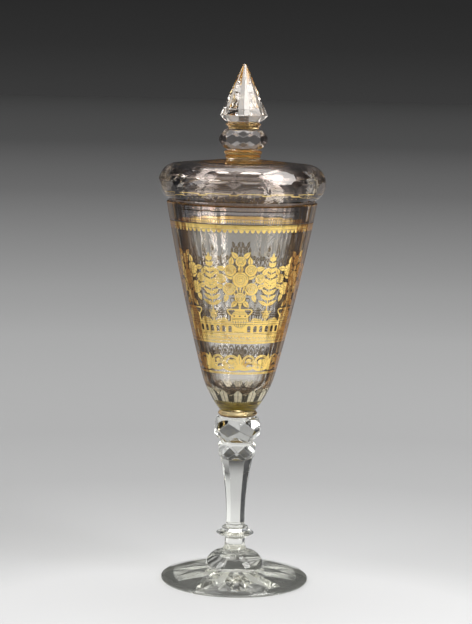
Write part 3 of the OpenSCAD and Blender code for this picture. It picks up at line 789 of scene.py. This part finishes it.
class LeafDrawing:
    """One repeat of an ornament: gold shapes and the lines engraved through them."""

    def __init__(self, radius, start, span):
        self.radius = radius
        self.start = start
        self.span = span
        self.gold = []
        self.lines = []

    def put(self, outlines, angle, height, engraved=False):
        """Adds outlines about a place, given by its angle from the front and its level."""
        reach = self.radius(height)
        target = self.lines if engraved else self.gold
        for outline in outlines:
            target.append([(angle + x / reach, height + y) for x, y in outline])

    def band(self, low, high, engraved=False):
        """A stripe right round between two levels."""
        ends = (self.start, self.start + self.span)
        target = self.lines if engraved else self.gold
        target.append([(ends[0], low), (ends[1], low), (ends[1], high), (ends[0], high)])

    def sheet(self, name, step=radians(2.0)):
        """Joins the shapes, takes the lines out and lays the leaf round the wall as a thin sheet."""
        mean = self.radius(sum(point[1] for point in self.gold[0]) / len(self.gold[0]))
        gold, lines = (
            [[(angle * mean, height) for angle, height in outline] for outline in outlines]
            for outlines in (self.gold, self.lines)
        )
        points = []
        guides = []
        for outline in gold + lines:
            first, count = len(points), len(outline)
            guides.extend((first + i, first + (i + 1) % count) for i in range(count))
            points.extend(Vector(point) for point in outline)
        lowest = min(point.y for point in points) - FOLD_PAST
        highest = max(point.y for point in points) + FOLD_PAST
        count = max(2, round(self.span / step))
        for i in range(1, count):
            across = (self.start + self.span * i / count) * mean
            guides.append((len(points), len(points) + 1))
            points.extend((Vector((across, lowest)), Vector((across, highest))))
        corners, _, triangles = delaunay_2d_cdt(points, guides, [], 0, OUTLINE_STEP)[:3]
        middles = numpy.array([
            sum((corners[i] for i in triangle), Vector((0, 0))) / 3 for triangle in triangles
        ])
        gilded = covered(gold, middles) & ~covered(lines, middles)
        kept = [triangles[i] for i in numpy.flatnonzero(gilded)]
        used = sorted({index for triangle in kept for index in triangle})
        order = {index: i for i, index in enumerate(used)}
        places = []
        for index in used:
            angle, height = corners[index].x / mean, corners[index].y
            reach = self.radius(height)
            places.append((reach * sin(angle) * MM, -reach * cos(angle) * MM, height * MM))
        mesh = bpy.data.meshes.new(name)
        mesh.from_pydata(places, [], [[order[index] for index in triangle] for triangle in kept])
        mesh.validate()
        return mesh


# Points of the leaf nearer than this are merged
WELD_REACH = 0.002 * MM
# Entries of the geometry nodes that make a ring of leaf, with their kinds
LEAF_RING_ENTRIES = {
    "Sheet": "Geometry",
    "Count": "Int",
    "Thickness": "Float",
    "Gold": "Material",
    "Backing": "Material",
}


def welded(tree, geometry):
    """Geometry with the points that lie a hair apart merged."""
    entries = {"Geometry": geometry, "Distance": WELD_REACH}
    return add_node(tree, "GeometryNodeMergeByDistance", entries).outputs["Geometry"]


def leaf_ring_tree():
    """Geometry nodes: repeats a sheet round the axis, makes it thick and gives it gold, with painted shade
    on its back.
    """
    if "leaf_ring" in bpy.data.node_groups:
        return bpy.data.node_groups["leaf_ring"]
    tree = bpy.data.node_groups.new("leaf_ring", "GeometryNodeTree")
    for name, kind in LEAF_RING_ENTRIES.items():
        tree.interface.new_socket(name, in_out="INPUT", socket_type=f"NodeSocket{kind}")
    tree.interface.new_socket("Leaf", in_out="OUTPUT", socket_type="NodeSocketGeometry")
    entry = tree.nodes.new("NodeGroupInput").outputs
    places = add_node(tree, "GeometryNodePoints", {"Count": entry["Count"]})
    index = tree.nodes.new("GeometryNodeInputIndex")
    angle = math(tree, "MULTIPLY", index.outputs["Index"], math(tree, "DIVIDE", tau, entry["Count"]))
    euler = add_node(tree, "ShaderNodeCombineXYZ", {"Z": angle})
    rotation = add_node(tree, "FunctionNodeEulerToRotation", {"Euler": euler.outputs["Vector"]})
    repeat = add_node(tree, "GeometryNodeInstanceOnPoints", {
        "Points": places.outputs["Points"],
        "Instance": entry["Sheet"],
        "Rotation": rotation.outputs["Rotation"],
    })
    real = add_node(tree, "GeometryNodeRealizeInstances", {"Geometry": repeat.outputs["Instances"]})
    ring = welded(tree, real.outputs["Geometry"])
    thick = {"Mesh": ring, "Offset Scale": entry["Thickness"], "Individual": False}
    front = add_node(tree, "GeometryNodeExtrudeMesh", thick, mode="FACES")
    back = add_node(tree, "GeometryNodeFlipFaces", {"Mesh": ring})
    join = add_node(tree, "GeometryNodeJoinGeometry", {"Geometry": front.outputs["Mesh"]})
    feed(tree, join, {"Geometry": back.outputs["Mesh"]})
    closed = welded(tree, join.outputs["Geometry"])
    gilded = add_node(tree, "GeometryNodeSetMaterial", {"Geometry": closed, "Material": entry["Gold"]})
    grown = {0: front.outputs["Top"], 1: front.outputs["Side"]}
    behind = add_node(tree, "FunctionNodeBooleanMath", grown, operation="NOR")
    # Faces on the back of the leaf get the painted shade
    back_shaded = add_node(tree, "GeometryNodeSetMaterial", {
        "Geometry": gilded.outputs["Geometry"],
        "Selection": behind.outputs["Boolean"],
        "Material": entry["Backing"],
    })
    add_node(tree, "NodeGroupOutput", {"Leaf": back_shaded.outputs["Geometry"]})
    return tree


def leaf_materials():
    """Gold of the leaf and the painted shade on its back, made once."""
    made = bpy.data.materials
    if "burnished_gold" not in made:
        gold_material()
        back_shade_material()
    return made["burnished_gold"], made["leaf_backing"]


def gilded_ring(name, drawing, count, body, node, shaded_back=True):
    """Turns one repeat of a drawing into a node's ring of leaf, with painted shade or gold on its back."""
    gold, painted_shade = leaf_materials()
    maker = bpy.data.objects.new(f"{name}_sheet", drawing.sheet(f"{name}_sheet"))
    bpy.context.scene.collection.objects.link(maker)
    modifier = maker.modifiers.new("leaf_ring", "NODES")
    tree = leaf_ring_tree()
    modifier.node_group = tree
    values = {
        "Count": count,
        "Thickness": bowl_sizes().leaf_t,
        "Gold": gold,
        "Backing": painted_shade if shaded_back else gold,
    }
    for item in tree.interface.items_tree:
        if item.in_out == "INPUT" and item.name in values:
            modifier[item.identifier] = values[item.name]
    graph = bpy.context.evaluated_depsgraph_get()
    mesh = bpy.data.meshes.new_from_object(maker.evaluated_get(graph))
    mesh.name = name
    if not mesh.polygons:
        raise RuntimeError(f"{name} came out empty")
    bpy.data.objects.remove(maker)
    piece = bpy.data.objects.new(name, mesh)
    bpy.context.scene.collection.objects.link(piece)
    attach(piece, body)
    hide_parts(node)
    return piece


def wall_leaf_radius(height):
    """Inner radius of the leaf in the bowl's wall at a level, in millimetres."""
    bowl = bowl_sizes()
    share = (height * MM - bowl.wall_low_z) / (bowl.rim_z - bowl.wall_low_z)
    straight = (bowl.wall_low_d + (bowl.rim_d - bowl.wall_low_d) * share) / 2
    return (straight + 4 * bowl.wall_bulge * share * (1 - share) - bowl.leaf_depth) / MM


# Height of the scallops as a share of the rim band, and their half width as a share of their spacing
SCALLOP_TALL = 0.36
SCALLOP_HALF = 0.37


class GOBLET_OT_rim_band(Operator):
    """Gold band under the seam, with scallops along its lower edge"""

    bl_idname = "goblet.rim_band"
    bl_label = "Rim Band"

    def execute(self, context):
        gold = gold_settings()
        line = gold.line_w / MM
        low, high = level("rim_gold_band"), level("rim_gold_band", top=True)
        pitch = tau / gold.scallops
        drawing = LeafDrawing(wall_leaf_radius, -pitch / 2, pitch)
        edge = low + SCALLOP_TALL * (high - low)
        drawing.band(edge, high)
        drawing.band(edge + line, edge + 2.0 * line, engraved=True)
        radius = SCALLOP_HALF * pitch * wall_leaf_radius(edge)
        flat = (edge - low) / radius
        drawing.put([[(x, flat * y) for x, y in arc_points(radius, 0.0, -pi, 12)]], 0.0, edge)
        gilded_ring("rim_scallops", drawing, gold.scallops, "goblet", "rim_gold_band", shaded_back=False)
        return {"FINISHED"}


# Blossoms over a vase: degrees to the side, millimetres over the vase, radius
BLOSSOMS = [
    (0.0, 17.5, 4.6), (-11.0, 11.8, 3.7), (11.0, 11.8, 3.7), (-9.6, 23.0, 3.5), (9.6, 23.0, 3.5),
    (0.0, 6.6, 3.1), (0.0, 28.2, 3.0), (-19.0, 18.0, 2.8), (19.0, 18.0, 2.8),
]
# Right side of a vase from its foot up, as runs of start, bend and end in shares of its width and height
VASE = [
    ((0.30, 0.00), (0.30, 0.03), (0.30, 0.06)),
    ((0.30, 0.06), (0.10, 0.08), (0.11, 0.22)),
    ((0.11, 0.22), (0.48, 0.26), (0.50, 0.55)),
    ((0.50, 0.55), (0.50, 0.80), (0.27, 0.88)),
    ((0.27, 0.88), (0.24, 0.96), (0.42, 1.00)),
]
# Engraved stripes of a vase: level and half length, in shares of its height and width
VASE_STRIPES = [(0.06, 0.29), (0.24, 0.15), (0.57, 0.49), (0.62, 0.49), (0.80, 0.38), (0.88, 0.26)]
VASE_RIBS = (-0.75, -0.45, -0.15, 0.15, 0.45, 0.75)
# Width and height of a large vase, and heights of the ground and of the garden wall, in millimetres
VASE_SIZE = (9.5, 15.0)
GROUND_H = 6.2
WALL_H = 7.4
# Arches in the garden wall: spacing in degrees, half width and height of the straight part in millimetres
ARCH_PITCH = 7.5
ARCH_HALF = 0.95
ARCH_TALL = 2.9
# Degrees between large vases, and from a vase to the nearest arch that is cut
VASE_PITCH = 60.0
VASE_ROOM = 8.0
# Large vases of one repeat: degrees from the front, and whether roses stand in them
LARGE_VASES = [(0.0, True), (60.0, False)]
# Bushes on the garden wall: degrees from a large vase, and radius
BUSHES = [(-23.0, 1.7), (-17.5, 2.2), (17.5, 2.2), (23.0, 1.7)]
# Small vases with ferns: degrees from the front, size against a large vase, height and pairs of leaves
FERN_PLACES = (-30.0, 30.0)
FERN_VASE_SIZE = 0.42
FERN_TALL = 33.0
FERN_PAIRS = 9
# Repeats of the frieze round the bowl, and the angle in degrees where the first starts
FRIEZE_REPEATS = 3
FRIEZE_START = -45.0


def draw_vase(drawing, angle, height, size, line):
    """Urn with a gadrooned body, two handles and engraved bands."""
    wide, tall = VASE_SIZE[0] * size, VASE_SIZE[1] * size
    right = []
    for run in VASE:
        right.extend((x * wide, y * tall) for x, y in bent(*run, steps=6)[:-1])
    right.append((0.42 * wide, tall))
    drawing.put([right + [(-x, y) for x, y in reversed(right)]], angle, height)
    handle = bent((0.44 * wide, 0.70 * tall), (0.95 * wide, 1.02 * tall), (0.34 * wide, 0.97 * tall))
    for mirror in (False, True):
        drawing.put(moved(strip(handle, 0.7 * size), mirror=mirror), angle, height)
    for share, reach in VASE_STRIPES:
        stripe = [(-reach * wide, share * tall), (0.0, share * tall), (reach * wide, share * tall)]
        drawing.put(strip(stripe, line), angle, height, engraved=True)
    for side in VASE_RIBS:
        foot, belly = side * 0.16 * wide, side * 0.5 * wide
        rib = bent((foot, 0.27 * tall), (belly, 0.30 * tall), (belly, 0.54 * tall))
        drawing.put(strip(rib, line), angle, height, engraved=True)
    for side in (-0.3, 0.0, 0.3):
        drawing.put([disc(0.05 * wide, (side * wide, 0.71 * tall), 10)], angle, height, engraved=True)


def draw_blossom(drawing, angle, height, radius, rose, line):
    """Round blossom set off by a gap: a rose with a spiral, or a daisy with petals."""
    drawing.put([disc(radius)], angle, height)
    drawing.put(strip(arc_points(radius + line / 2), line), angle, height, engraved=True)
    if rose:
        petals = spiral_points(0.8 * radius, 0.14 * radius, 2.6)
        drawing.put(strip(petals, line), angle, height, engraved=True)
        return
    drawing.put(strip(arc_points(0.3 * radius, steps=14), line), angle, height, engraved=True)
    drawing.put([disc(0.1 * radius, steps=8)], angle, height, engraved=True)
    for i in range(9):
        ray = moved(strip([(0.42 * radius, 0.0), (radius, 0.0)], 0.6 * line, 1.6 * line), turn=tau * i / 9)
        drawing.put(ray, angle, height, engraved=True)


def draw_leaf(drawing, angle, height, length, width, turn, line, away=0.0):
    """Leaf with an engraved midrib, its stalk a little way out from a place."""
    start = (away * cos(turn), away * sin(turn))
    drawing.put(moved([leaf(length, width)], start, turn), angle, height)
    drawing.put(moved(midrib(length, line), start, turn), angle, height, engraved=True)


def draw_bouquet(drawing, angle, height, rose, line):
    """Blossoms on stems over a vase, with leaves behind them."""
    middle = (0.0, 15.0)
    for side, up, radius in BLOSSOMS:
        reach = drawing.radius(height + up)
        x = radians(side) * reach
        turn = atan2(up - middle[1], x) if hypot(x, up - middle[1]) > 3.0 else pi / 2
        stem = bent((0.0, -0.5), (0.1 * x, 0.6 * up), (x * drawing.radius(height) / reach, up))
        drawing.put(strip(stem, 0.55), angle, height)
        spots = (-0.75, 0.75) if abs(x) + abs(up - middle[1]) > 4.0 else (-2.6, -1.3, 0.0, 1.3, 2.6)
        at = (angle + radians(side), height + up)
        for lean in spots:
            draw_leaf(drawing, *at, 5.2, 3.0, turn + lean, line, 0.85 * radius)
        draw_blossom(drawing, *at, radius, rose, line)


def draw_fern(drawing, angle, height, tall, line):
    """Upright spray: a stem with pairs of leaves that shorten to its tip."""
    drawing.put(strip([(0.0, 0.0), (0.0, 0.5 * tall), (0.0, tall)], 0.7, 0.3), angle, height)
    for i in range(FERN_PAIRS):
        share = (i + 1) / (FERN_PAIRS + 1)
        length = 7.2 - 4.4 * share
        for side in (1.0, -1.0):
            turn = pi / 2 - side * (1.15 - 0.55 * share)
            draw_leaf(drawing, angle, height + share * tall, length, 2.1, turn, 0.6 * line)
    draw_leaf(drawing, angle, height + 0.94 * tall, 3.6, 1.6, pi / 2, 0.6 * line)


def draw_garden_wall(drawing, base, line):
    """Ground strip and arcaded wall right round."""
    drawing.band(base, base + GROUND_H)
    drawing.band(base + GROUND_H, base + GROUND_H + WALL_H)
    for share in (0.16, 0.26, 0.86, 1.0):
        at = base + share * GROUND_H
        drawing.band(at, at + line, engraved=True)
    for share in (0.74, 0.92):
        at = base + GROUND_H + share * WALL_H
        drawing.band(at, at + line, engraved=True)
    pitch = radians(ARCH_PITCH)
    half = radians(VASE_PITCH / 2)
    round_top = arc_points(ARCH_HALF, 0.0, pi, 10)
    arch = [(-ARCH_HALF, 0.0), (ARCH_HALF, 0.0)] + [(x, y + ARCH_TALL) for x, y in round_top]
    for i in range(round(drawing.span / pitch)):
        angle = drawing.start + (i + 0.5) * pitch
        zigzag = [(-1.5, -0.9), (-0.75, 0.9), (0.0, -0.9), (0.75, 0.9), (1.5, -0.9)]
        for a, b in zip(zigzag, zigzag[1:]):
            drawing.put(strip([a, b], line), angle, base + 0.56 * GROUND_H, engraved=True)
        from_vase = abs((angle + half) % (2 * half) - half)
        if from_vase >= radians(VASE_ROOM):
            drawing.put([arch], angle, base + GROUND_H + 0.9, engraved=True)


def draw_bush(drawing, angle, height, radius, line):
    """Clipped bush on the wall, with rows of small engraved arcs."""
    drawing.put([arc_points(radius, 0.0, pi, 14)], angle, height - 0.05)
    for row, count in ((0.25, 3), (0.6, 2)):
        for i in range(count):
            x = (i - (count - 1) / 2) * 0.55 * radius
            curl = [(x + a, row * radius + b) for a, b in arc_points(0.2 * radius, 0.0, pi, 6)]
            drawing.put(strip(curl, 0.8 * line), angle, height, engraved=True)


class GOBLET_OT_frieze(Operator):
    """Gold leaf garden round the bowl: vases of flowers, ferns, bushes and a low arcade"""

    bl_idname = "goblet.frieze"
    bl_label = "Frieze"

    def execute(self, context):
        line = gold_settings().line_w / MM
        base = level("frieze_gold")
        drawing = LeafDrawing(wall_leaf_radius, radians(FRIEZE_START), tau / FRIEZE_REPEATS)
        draw_garden_wall(drawing, base, line)
        ground = base + GROUND_H
        wall = ground + WALL_H
        for middle, rose in LARGE_VASES:
            draw_vase(drawing, radians(middle), ground, 1.0, line)
            draw_bouquet(drawing, radians(middle), ground + VASE_SIZE[1], rose, line)
            for side, radius in BUSHES:
                draw_bush(drawing, radians(middle + side), wall, radius, line)
        for middle in FERN_PLACES:
            draw_vase(drawing, radians(middle), wall, FERN_VASE_SIZE, 0.7 * line)
            draw_fern(drawing, radians(middle), wall + FERN_VASE_SIZE * VASE_SIZE[1], FERN_TALL, line)
        gilded_ring("garden_frieze", drawing, FRIEZE_REPEATS, "goblet", "frieze_gold")
        return {"FINISHED"}


# One repeat of the scroll border in millimetres, drawn in a height of SCROLL_TALL
SCROLL_TALL = 11.0
# Curls: centre, outer and inner radius, turns, starting angle in degrees, width
SCROLL_CURLS = [
    ((-4.4, 5.9), 4.2, 1.3, 1.15, 5.0, 1.5),
    ((5.6, 7.0), 3.2, 0.9, -1.2, 195.0, 1.2),
]
# Stems: start, bend, end, width, width at the end
SCROLL_STEMS = [
    ((-8.8, 2.8), (-5.6, -0.6), (0.6, 2.2), 0.7, 1.9),
    ((0.4, 3.0), (0.9, 6.0), (-0.3, 6.6), 2.6, 1.4),
    ((0.6, 2.4), (1.6, 4.6), (2.5, 6.4), 2.4, 1.3),
    ((0.6, 2.0), (5.0, 0.2), (8.9, 2.8), 1.9, 0.7),
]
# Leaves: root, direction in degrees, length, width
SCROLL_LEAVES = [
    ((0.4, 3.2), 92.0, 7.6, 2.8), ((0.6, 3.2), 62.0, 6.4, 2.4), ((0.2, 3.2), 122.0, 5.6, 2.4),
    ((1.0, 2.8), 28.0, 5.0, 2.2), ((1.2, 2.2), 0.0, 4.6, 2.0), ((-0.2, 2.6), 160.0, 4.4, 2.0),
    ((-4.6, 0.9), 70.0, 2.6, 1.6), ((-5.6, 1.1), 130.0, 3.2, 1.7), ((-7.0, 1.8), 100.0, 3.0, 1.5),
    ((5.2, 1.1), 60.0, 2.8, 1.7), ((6.6, 1.7), 30.0, 3.0, 1.6), ((8.2, 3.6), 100.0, 3.6, 1.6),
    ((-4.4, 5.9), 40.0, 2.4, 1.5), ((5.6, 7.0), 250.0, 2.2, 1.4),
]
# Beads engraved in the line under the scrolls, and their radius as a share of its height
LINE_BEADS = 96
BEAD_SHARE = 0.24


class GOBLET_OT_scrolls(Operator):
    """Border of leafy scrolls near the bottom of the bowl, over a beaded line"""

    bl_idname = "goblet.scrolls"
    bl_label = "Scroll Border"

    def execute(self, context):
        gold = gold_settings()
        line = gold.line_w / MM
        base = level("scroll_gold")
        tall = level("scroll_gold", top=True) - base
        span = tau / gold.scrolls
        drawing = LeafDrawing(wall_leaf_radius, -span / 2, span)
        size = tall / SCROLL_TALL
        for centre, outer, inner, turns, start, width in SCROLL_CURLS:
            curl = moved([spiral_points(outer, inner, turns, radians(start), 20)], centre)[0]
            drawing.put(moved(strip(curl, width, 0.7 * width), size=size), 0.0, base)
            drawing.put(moved([disc(1.2 * inner, centre)], size=size), 0.0, base)
            drawing.put(moved(strip(curl[2:-4], 0.7 * line), size=size), 0.0, base, engraved=True)
        for start, middle, end, width, end_width in SCROLL_STEMS:
            drawing.put(moved(strip(bent(start, middle, end), width, end_width), size=size), 0.0, base)
        for root, turn, length, width in SCROLL_LEAVES:
            drawing.put(moved([leaf(length, width)], root, radians(turn)), 0.0, base)
            rib = moved(midrib(length, 0.7 * line), root, radians(turn))
            drawing.put(rib, 0.0, base, engraved=True)
        gilded_ring("scroll_border", drawing, gold.scrolls, "goblet", "scroll_gold")
        low, high = level("scroll_gold_line"), level("scroll_gold_line", top=True)
        beaded = LeafDrawing(wall_leaf_radius, -pi / LINE_BEADS, tau / LINE_BEADS)
        beaded.band(low, high)
        beaded.put([disc(BEAD_SHARE * (high - low), steps=10)], 0.0, (low + high) / 2, engraved=True)
        gilded_ring("beaded_line", beaded, LINE_BEADS, "goblet", "scroll_gold_line")
        return {"FINISHED"}


class GOBLET_OT_base(Operator):
    """Lacquer disc and silver rosette under the inner beaker"""

    bl_idname = "goblet.base"
    bl_label = "Base Rosette"

    def execute(self, context):
        finish_node("base_glaze", lacquer_material())
        finish_node("base_rosette", silver_material())
        return {"FINISHED"}


class GOBLET_OT_cover_gold(Operator):
    """Gold border and amber field between the layers of the cover"""

    bl_idname = "goblet.cover_gold"
    bl_label = "Cover Gold"

    def execute(self, context):
        gold = gold_settings()
        line = gold.line_w / MM
        low, high = level("cover_gold_border"), level("cover_gold_border", top=True)
        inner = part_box("cover_gold_border")[1][0] / MM - bowl_sizes().leaf_t / MM
        pitch = tau / gold.scallops
        drawing = LeafDrawing(lambda height: inner, -pitch / 2, pitch)
        drawing.band(high - 0.8 * line, high)
        drawing.put([disc(0.5 * line, steps=8)], 0.0, low + 0.5 * line)
        gilded_ring("cover_beads", drawing, gold.scallops, "cover", "cover_gold_border")
        finish_node("cover_gold_field", amber_material())
        return {"FINISHED"}


# Stage

# Place and size of each softbox, the spot they shine on, and how strongly gloss shows them
SOFTBOXES = {
    "key": ((0.85, -0.55, 0.75), (0.6, 0.8)),
    "fill": ((-0.95, -0.45, 0.5), (0.5, 1.0)),
    "top": ((0.0, 0.25, 1.15), (0.8, 0.5)),
}
LAMP_TARGET = (0.0, 0.0, 0.16)
LAMP_GLOSS = 0.4
# Bounces of light in cut glass, and layers of clear cement that it can pass
GLASS_BOUNCES = 32
CEMENT_LAYERS = 48


def aim(location, target):
    """Placing matrix of a lamp at a location that shines on a target."""
    direction = Vector(target) - Vector(location)
    return Matrix.Translation(location) @ direction.to_track_quat("-Z", "Y").to_matrix().to_4x4()


def softbox(name, location, size, power):
    """Rectangular lamp that shines on the bowl."""
    lamp = bpy.data.lights.new(name, "AREA")
    lamp.shape = "RECTANGLE"
    lamp.size, lamp.size_y = size
    lamp.energy = power
    lamp.specular_factor = LAMP_GLOSS
    holder = bpy.data.objects.new(name, lamp)
    holder.matrix_world = aim(location, LAMP_TARGET)
    bpy.context.scene.collection.objects.link(holder)


# Painted pool of light on the floor: its brightness by distance in metres from a place in front of the foot
FLOOR_REACH = 40.0
FLOOR_EASE = 0.25
FLOOR_MIDDLE = (0.0, -0.15, 0.0)
FLOOR_SHADES = [
    (0.10, 0.46), (0.175, 0.44), (0.226, 0.37), (0.32, 0.33), (0.445, 0.29), (0.64, 0.287), (0.905, 0.325),
    (1.27, 0.36), (1.81, 0.345), (2.69, 0.275), (4.37, 0.170), (8.85, 0.086), (40.0, 0.044),
]
# Brightness of the backdrop by the sine of its elevation, as the eye and gloss see it and as glass shows it
SKY_SHADES = [(-0.0075, 0.043), (0.0, 0.040), (0.0206, 0.029), (0.045, 0.023), (0.4, 0.10), (1.0, 0.40)]
GLASS_SHADES = [
    (-0.0075, 0.10), (0.02, 0.14), (0.06, 0.30), (0.10, 0.05), (0.16, 0.42), (0.22, 0.05), (0.26, 0.05),
    (0.285, 0.34), (0.32, 0.34), (0.345, 0.03), (0.395, 0.03), (0.42, 0.34), (0.46, 0.30), (0.49, 0.05),
    (0.62, 0.08), (0.8, 0.4), (1.0, 0.8),
]
# Colours that glass gives the room and the floor, as shares of a peak, by degrees right of straight behind;
# on the floor they are painted softbox light and painted dark, shown only through glass
SIDE_PEAK = 2.0
ROOM_SIDES = [
    (-180.0, (0.10, 0.10, 0.11)), (-88.0, (0.02, 0.022, 0.026)), (-82.0, (0.75, 0.8, 0.9)),
    (-70.0, (0.75, 0.8, 0.9)), (-64.0, (0.02, 0.024, 0.035)), (-38.0, (0.02, 0.022, 0.028)),
    (-30.0, (0.65, 0.65, 0.65)), (30.0, (0.65, 0.65, 0.65)), (37.0, (0.9, 0.9, 0.9)),
    (48.0, (0.9, 0.9, 0.9)), (53.0, (0.02, 0.02, 0.022)), (84.0, (0.02, 0.02, 0.022)),
    (90.0, (0.8, 0.8, 0.8)), (102.0, (0.8, 0.8, 0.8)), (110.0, (0.02, 0.02, 0.022)),
    (180.0, (0.10, 0.10, 0.11)),
]
FLOOR_SIDES = [
    (-180.0, (0.55, 0.55, 0.55)), (-112.0, (0.50, 0.50, 0.50)), (-104.0, (0.02, 0.022, 0.026)),
    *ROOM_SIDES[1:-2], (110.0, (0.50, 0.50, 0.50)), (180.0, (0.55, 0.55, 0.55)),
]
# Distances from the axis, in metres, between which the painted light and dark of the room's sides come in
# on the floor
SIDE_START = (0.05, 0.09)


def room_sides(tree, where, base, shades):
    """A colour as glass shows it: dark and bright by the side of the axis on which a place lies."""
    split = split_xyz(tree, where)
    angle = math(tree, "ARCTAN2", split["X"], split["Y"])
    share = math(tree, "ADD", math(tree, "DIVIDE", angle, tau), 0.5)
    sides = ramp(tree, share, [(degrees / 360.0 + 0.5, shade) for degrees, shade in shades])
    strong = vector_math(tree, "SCALE", {0: sides, "Scale": SIDE_PEAK})["Vector"]
    return vector_math(tree, "MULTIPLY", {0: strong, 1: base})["Vector"]


def floor_share(distance):
    """Place of a distance on the floor's ramp, finer near the object."""
    return (distance / FLOOR_REACH) ** FLOOR_EASE


def floor_material():
    """Pale paper with a painted pool of light, darkening with distance from the object."""
    material, tree, shader = new_material("paper_floor")
    where = place(tree)
    distance = vector_math(tree, "DISTANCE", {0: where, 1: FLOOR_MIDDLE})["Value"]
    share = math(tree, "POWER", math(tree, "DIVIDE", distance, FLOOR_REACH), FLOOR_EASE)
    paper_light_pool = ramp(tree, share, [(floor_share(reach), (shade,) * 3) for reach, shade in FLOOR_SHADES])
    far = spread(tree, vector_math(tree, "LENGTH", {0: where})["Value"], 0.0, 1.0, *SIDE_START)
    path = tree.nodes.new("ShaderNodeLightPath")
    # Seen through glass, the floor takes painted strips of softbox light and painted dark
    by_glass = math(tree, "MULTIPLY", far, path.outputs["Is Transmission Ray"])
    feed(tree, shader, {
        "Base Color": blend(tree, by_glass, paper_light_pool, room_sides(tree, where, paper_light_pool, FLOOR_SIDES)),
        "Normal": bump(tree, noise(tree, where, 900.0, 2.0), 0.05, 0.1 * MM),
        "Roughness": 0.95,
        "Specular IOR Level": 0.1,
    })
    return material


def backdrop(world, ambient):
    """Even light for surfaces, and a dark graded backdrop for the eye, gloss and glass."""
    world.use_nodes = True
    tree = world.node_tree
    tree.nodes.clear()
    direction = tree.nodes.new("ShaderNodeTexCoord").outputs["Generated"]
    low, high = SKY_SHADES[0][0], SKY_SHADES[-1][0]
    rise = math(tree, "SUBTRACT", split_xyz(tree, direction)["Z"], low)
    share = math(tree, "DIVIDE", rise, high - low)
    by_eye, by_glass = (
        ramp(tree, share, [((sine - low) / (high - low), (shade,) * 3) for sine, shade in shades])
        for shades in (SKY_SHADES, GLASS_SHADES)
    )
    path = tree.nodes.new("ShaderNodeLightPath").outputs
    by_glass = room_sides(tree, direction, by_glass, ROOM_SIDES)
    graded = blend(tree, path["Is Transmission Ray"], by_eye, by_glass)
    seen = math(tree, "MAXIMUM", path["Is Camera Ray"], path["Is Glossy Ray"])
    seen = math(tree, "MAXIMUM", seen, path["Is Transmission Ray"])
    even = add_node(tree, "ShaderNodeBackground", {"Color": (ambient, ambient, ambient, 1.0)})
    shown = add_node(tree, "ShaderNodeBackground", {"Color": graded})
    lights = {1: even.outputs["Background"], 2: shown.outputs["Background"]}
    mix = add_node(tree, "ShaderNodeMixShader", {"Fac": seen, **lights})
    add_node(tree, "ShaderNodeOutputWorld", {"Surface": mix.outputs["Shader"]})


class GOBLET_OT_stage(Operator):
    """Paper floor, graded backdrop, softboxes and the camera"""

    bl_idname = "goblet.stage"
    bl_label = "Stage"

    def execute(self, context):
        stage = stage_settings()
        scene = context.scene
        shape = bmesh.new()
        bmesh.ops.create_circle(shape, cap_ends=True, segments=96, radius=FLOOR_REACH)
        mesh = bpy.data.meshes.new("paper_floor")
        shape.to_mesh(mesh)
        shape.free()
        mesh.materials.append(floor_material())
        floor = bpy.data.objects.new("paper_floor", mesh)
        scene.collection.objects.link(floor)
        if scene.world is None:
            scene.world = bpy.data.worlds.new("studio")
        backdrop(scene.world, stage.ambient)
        for name, (location, size) in SOFTBOXES.items():
            softbox(f"{name}_softbox", location, size, getattr(stage, f"{name}_power"))
        camera = bpy.data.cameras.new("photo_camera")
        camera.lens = stage.lens
        holder = bpy.data.objects.new("photo_camera", camera)
        look = Matrix.Rotation(pi / 2 - stage.pitch, 4, "X") @ Matrix.Rotation(stage.roll, 4, "Z")
        holder.matrix_world = Matrix.Translation((-stage.aside, -stage.distance, stage.height)) @ look
        scene.collection.objects.link(holder)
        scene.camera = holder
        scene.view_settings.view_transform = "Standard"
        scene.cycles.max_bounces = GLASS_BOUNCES
        scene.cycles.glossy_bounces = GLASS_BOUNCES
        scene.cycles.transmission_bounces = GLASS_BOUNCES
        scene.cycles.transparent_max_bounces = CEMENT_LAYERS
        return {"FINISHED"}


OPERATORS = (
    GOBLET_OT_stem_glass,
    GOBLET_OT_bowl_glass,
    GOBLET_OT_cover_glass,
    GOBLET_OT_rim_band,
    GOBLET_OT_frieze,
    GOBLET_OT_scrolls,
    GOBLET_OT_base,
    GOBLET_OT_cover_gold,
    GOBLET_OT_stage,
)
GROUPS = {
    "goblet_bowl": BowlSizes,
    "goblet_gold": GoldSettings,
    "goblet_glass": GlassSettings,
    "goblet_stage": StageSettings,
}


class GOBLET_PT_panel(Panel):
    """Sizes, colours and steps of the goblet"""

    bl_idname = "GOBLET_PT_panel"
    bl_label = "Covered Goblet"
    bl_space_type = "VIEW_3D"
    bl_region_type = "UI"
    bl_category = "Goblet"

    def draw(self, context):
        for name, group in GROUPS.items():
            box = self.layout.box()
            box.label(text=group.__doc__)
            for prop in group.__annotations__:
                box.prop(getattr(context.scene, name), prop)
        for operator in OPERATORS:
            self.layout.operator(operator.bl_idname)


CLASSES = (*GROUPS.values(), *OPERATORS, GOBLET_PT_panel)


def register():
    for item in CLASSES:
        bpy.utils.register_class(item)
    for name, group in GROUPS.items():
        setattr(bpy.types.Scene, name, PointerProperty(type=group))


def unregister():
    for name in GROUPS:
        delattr(bpy.types.Scene, name)
    for item in reversed(CLASSES):
        bpy.utils.unregister_class(item)


def main():
    register()
    for operator in OPERATORS:
        group, step = operator.bl_idname.split(".")
        getattr(getattr(bpy.ops, group), step)()


if __name__ == "__main__":
    main()
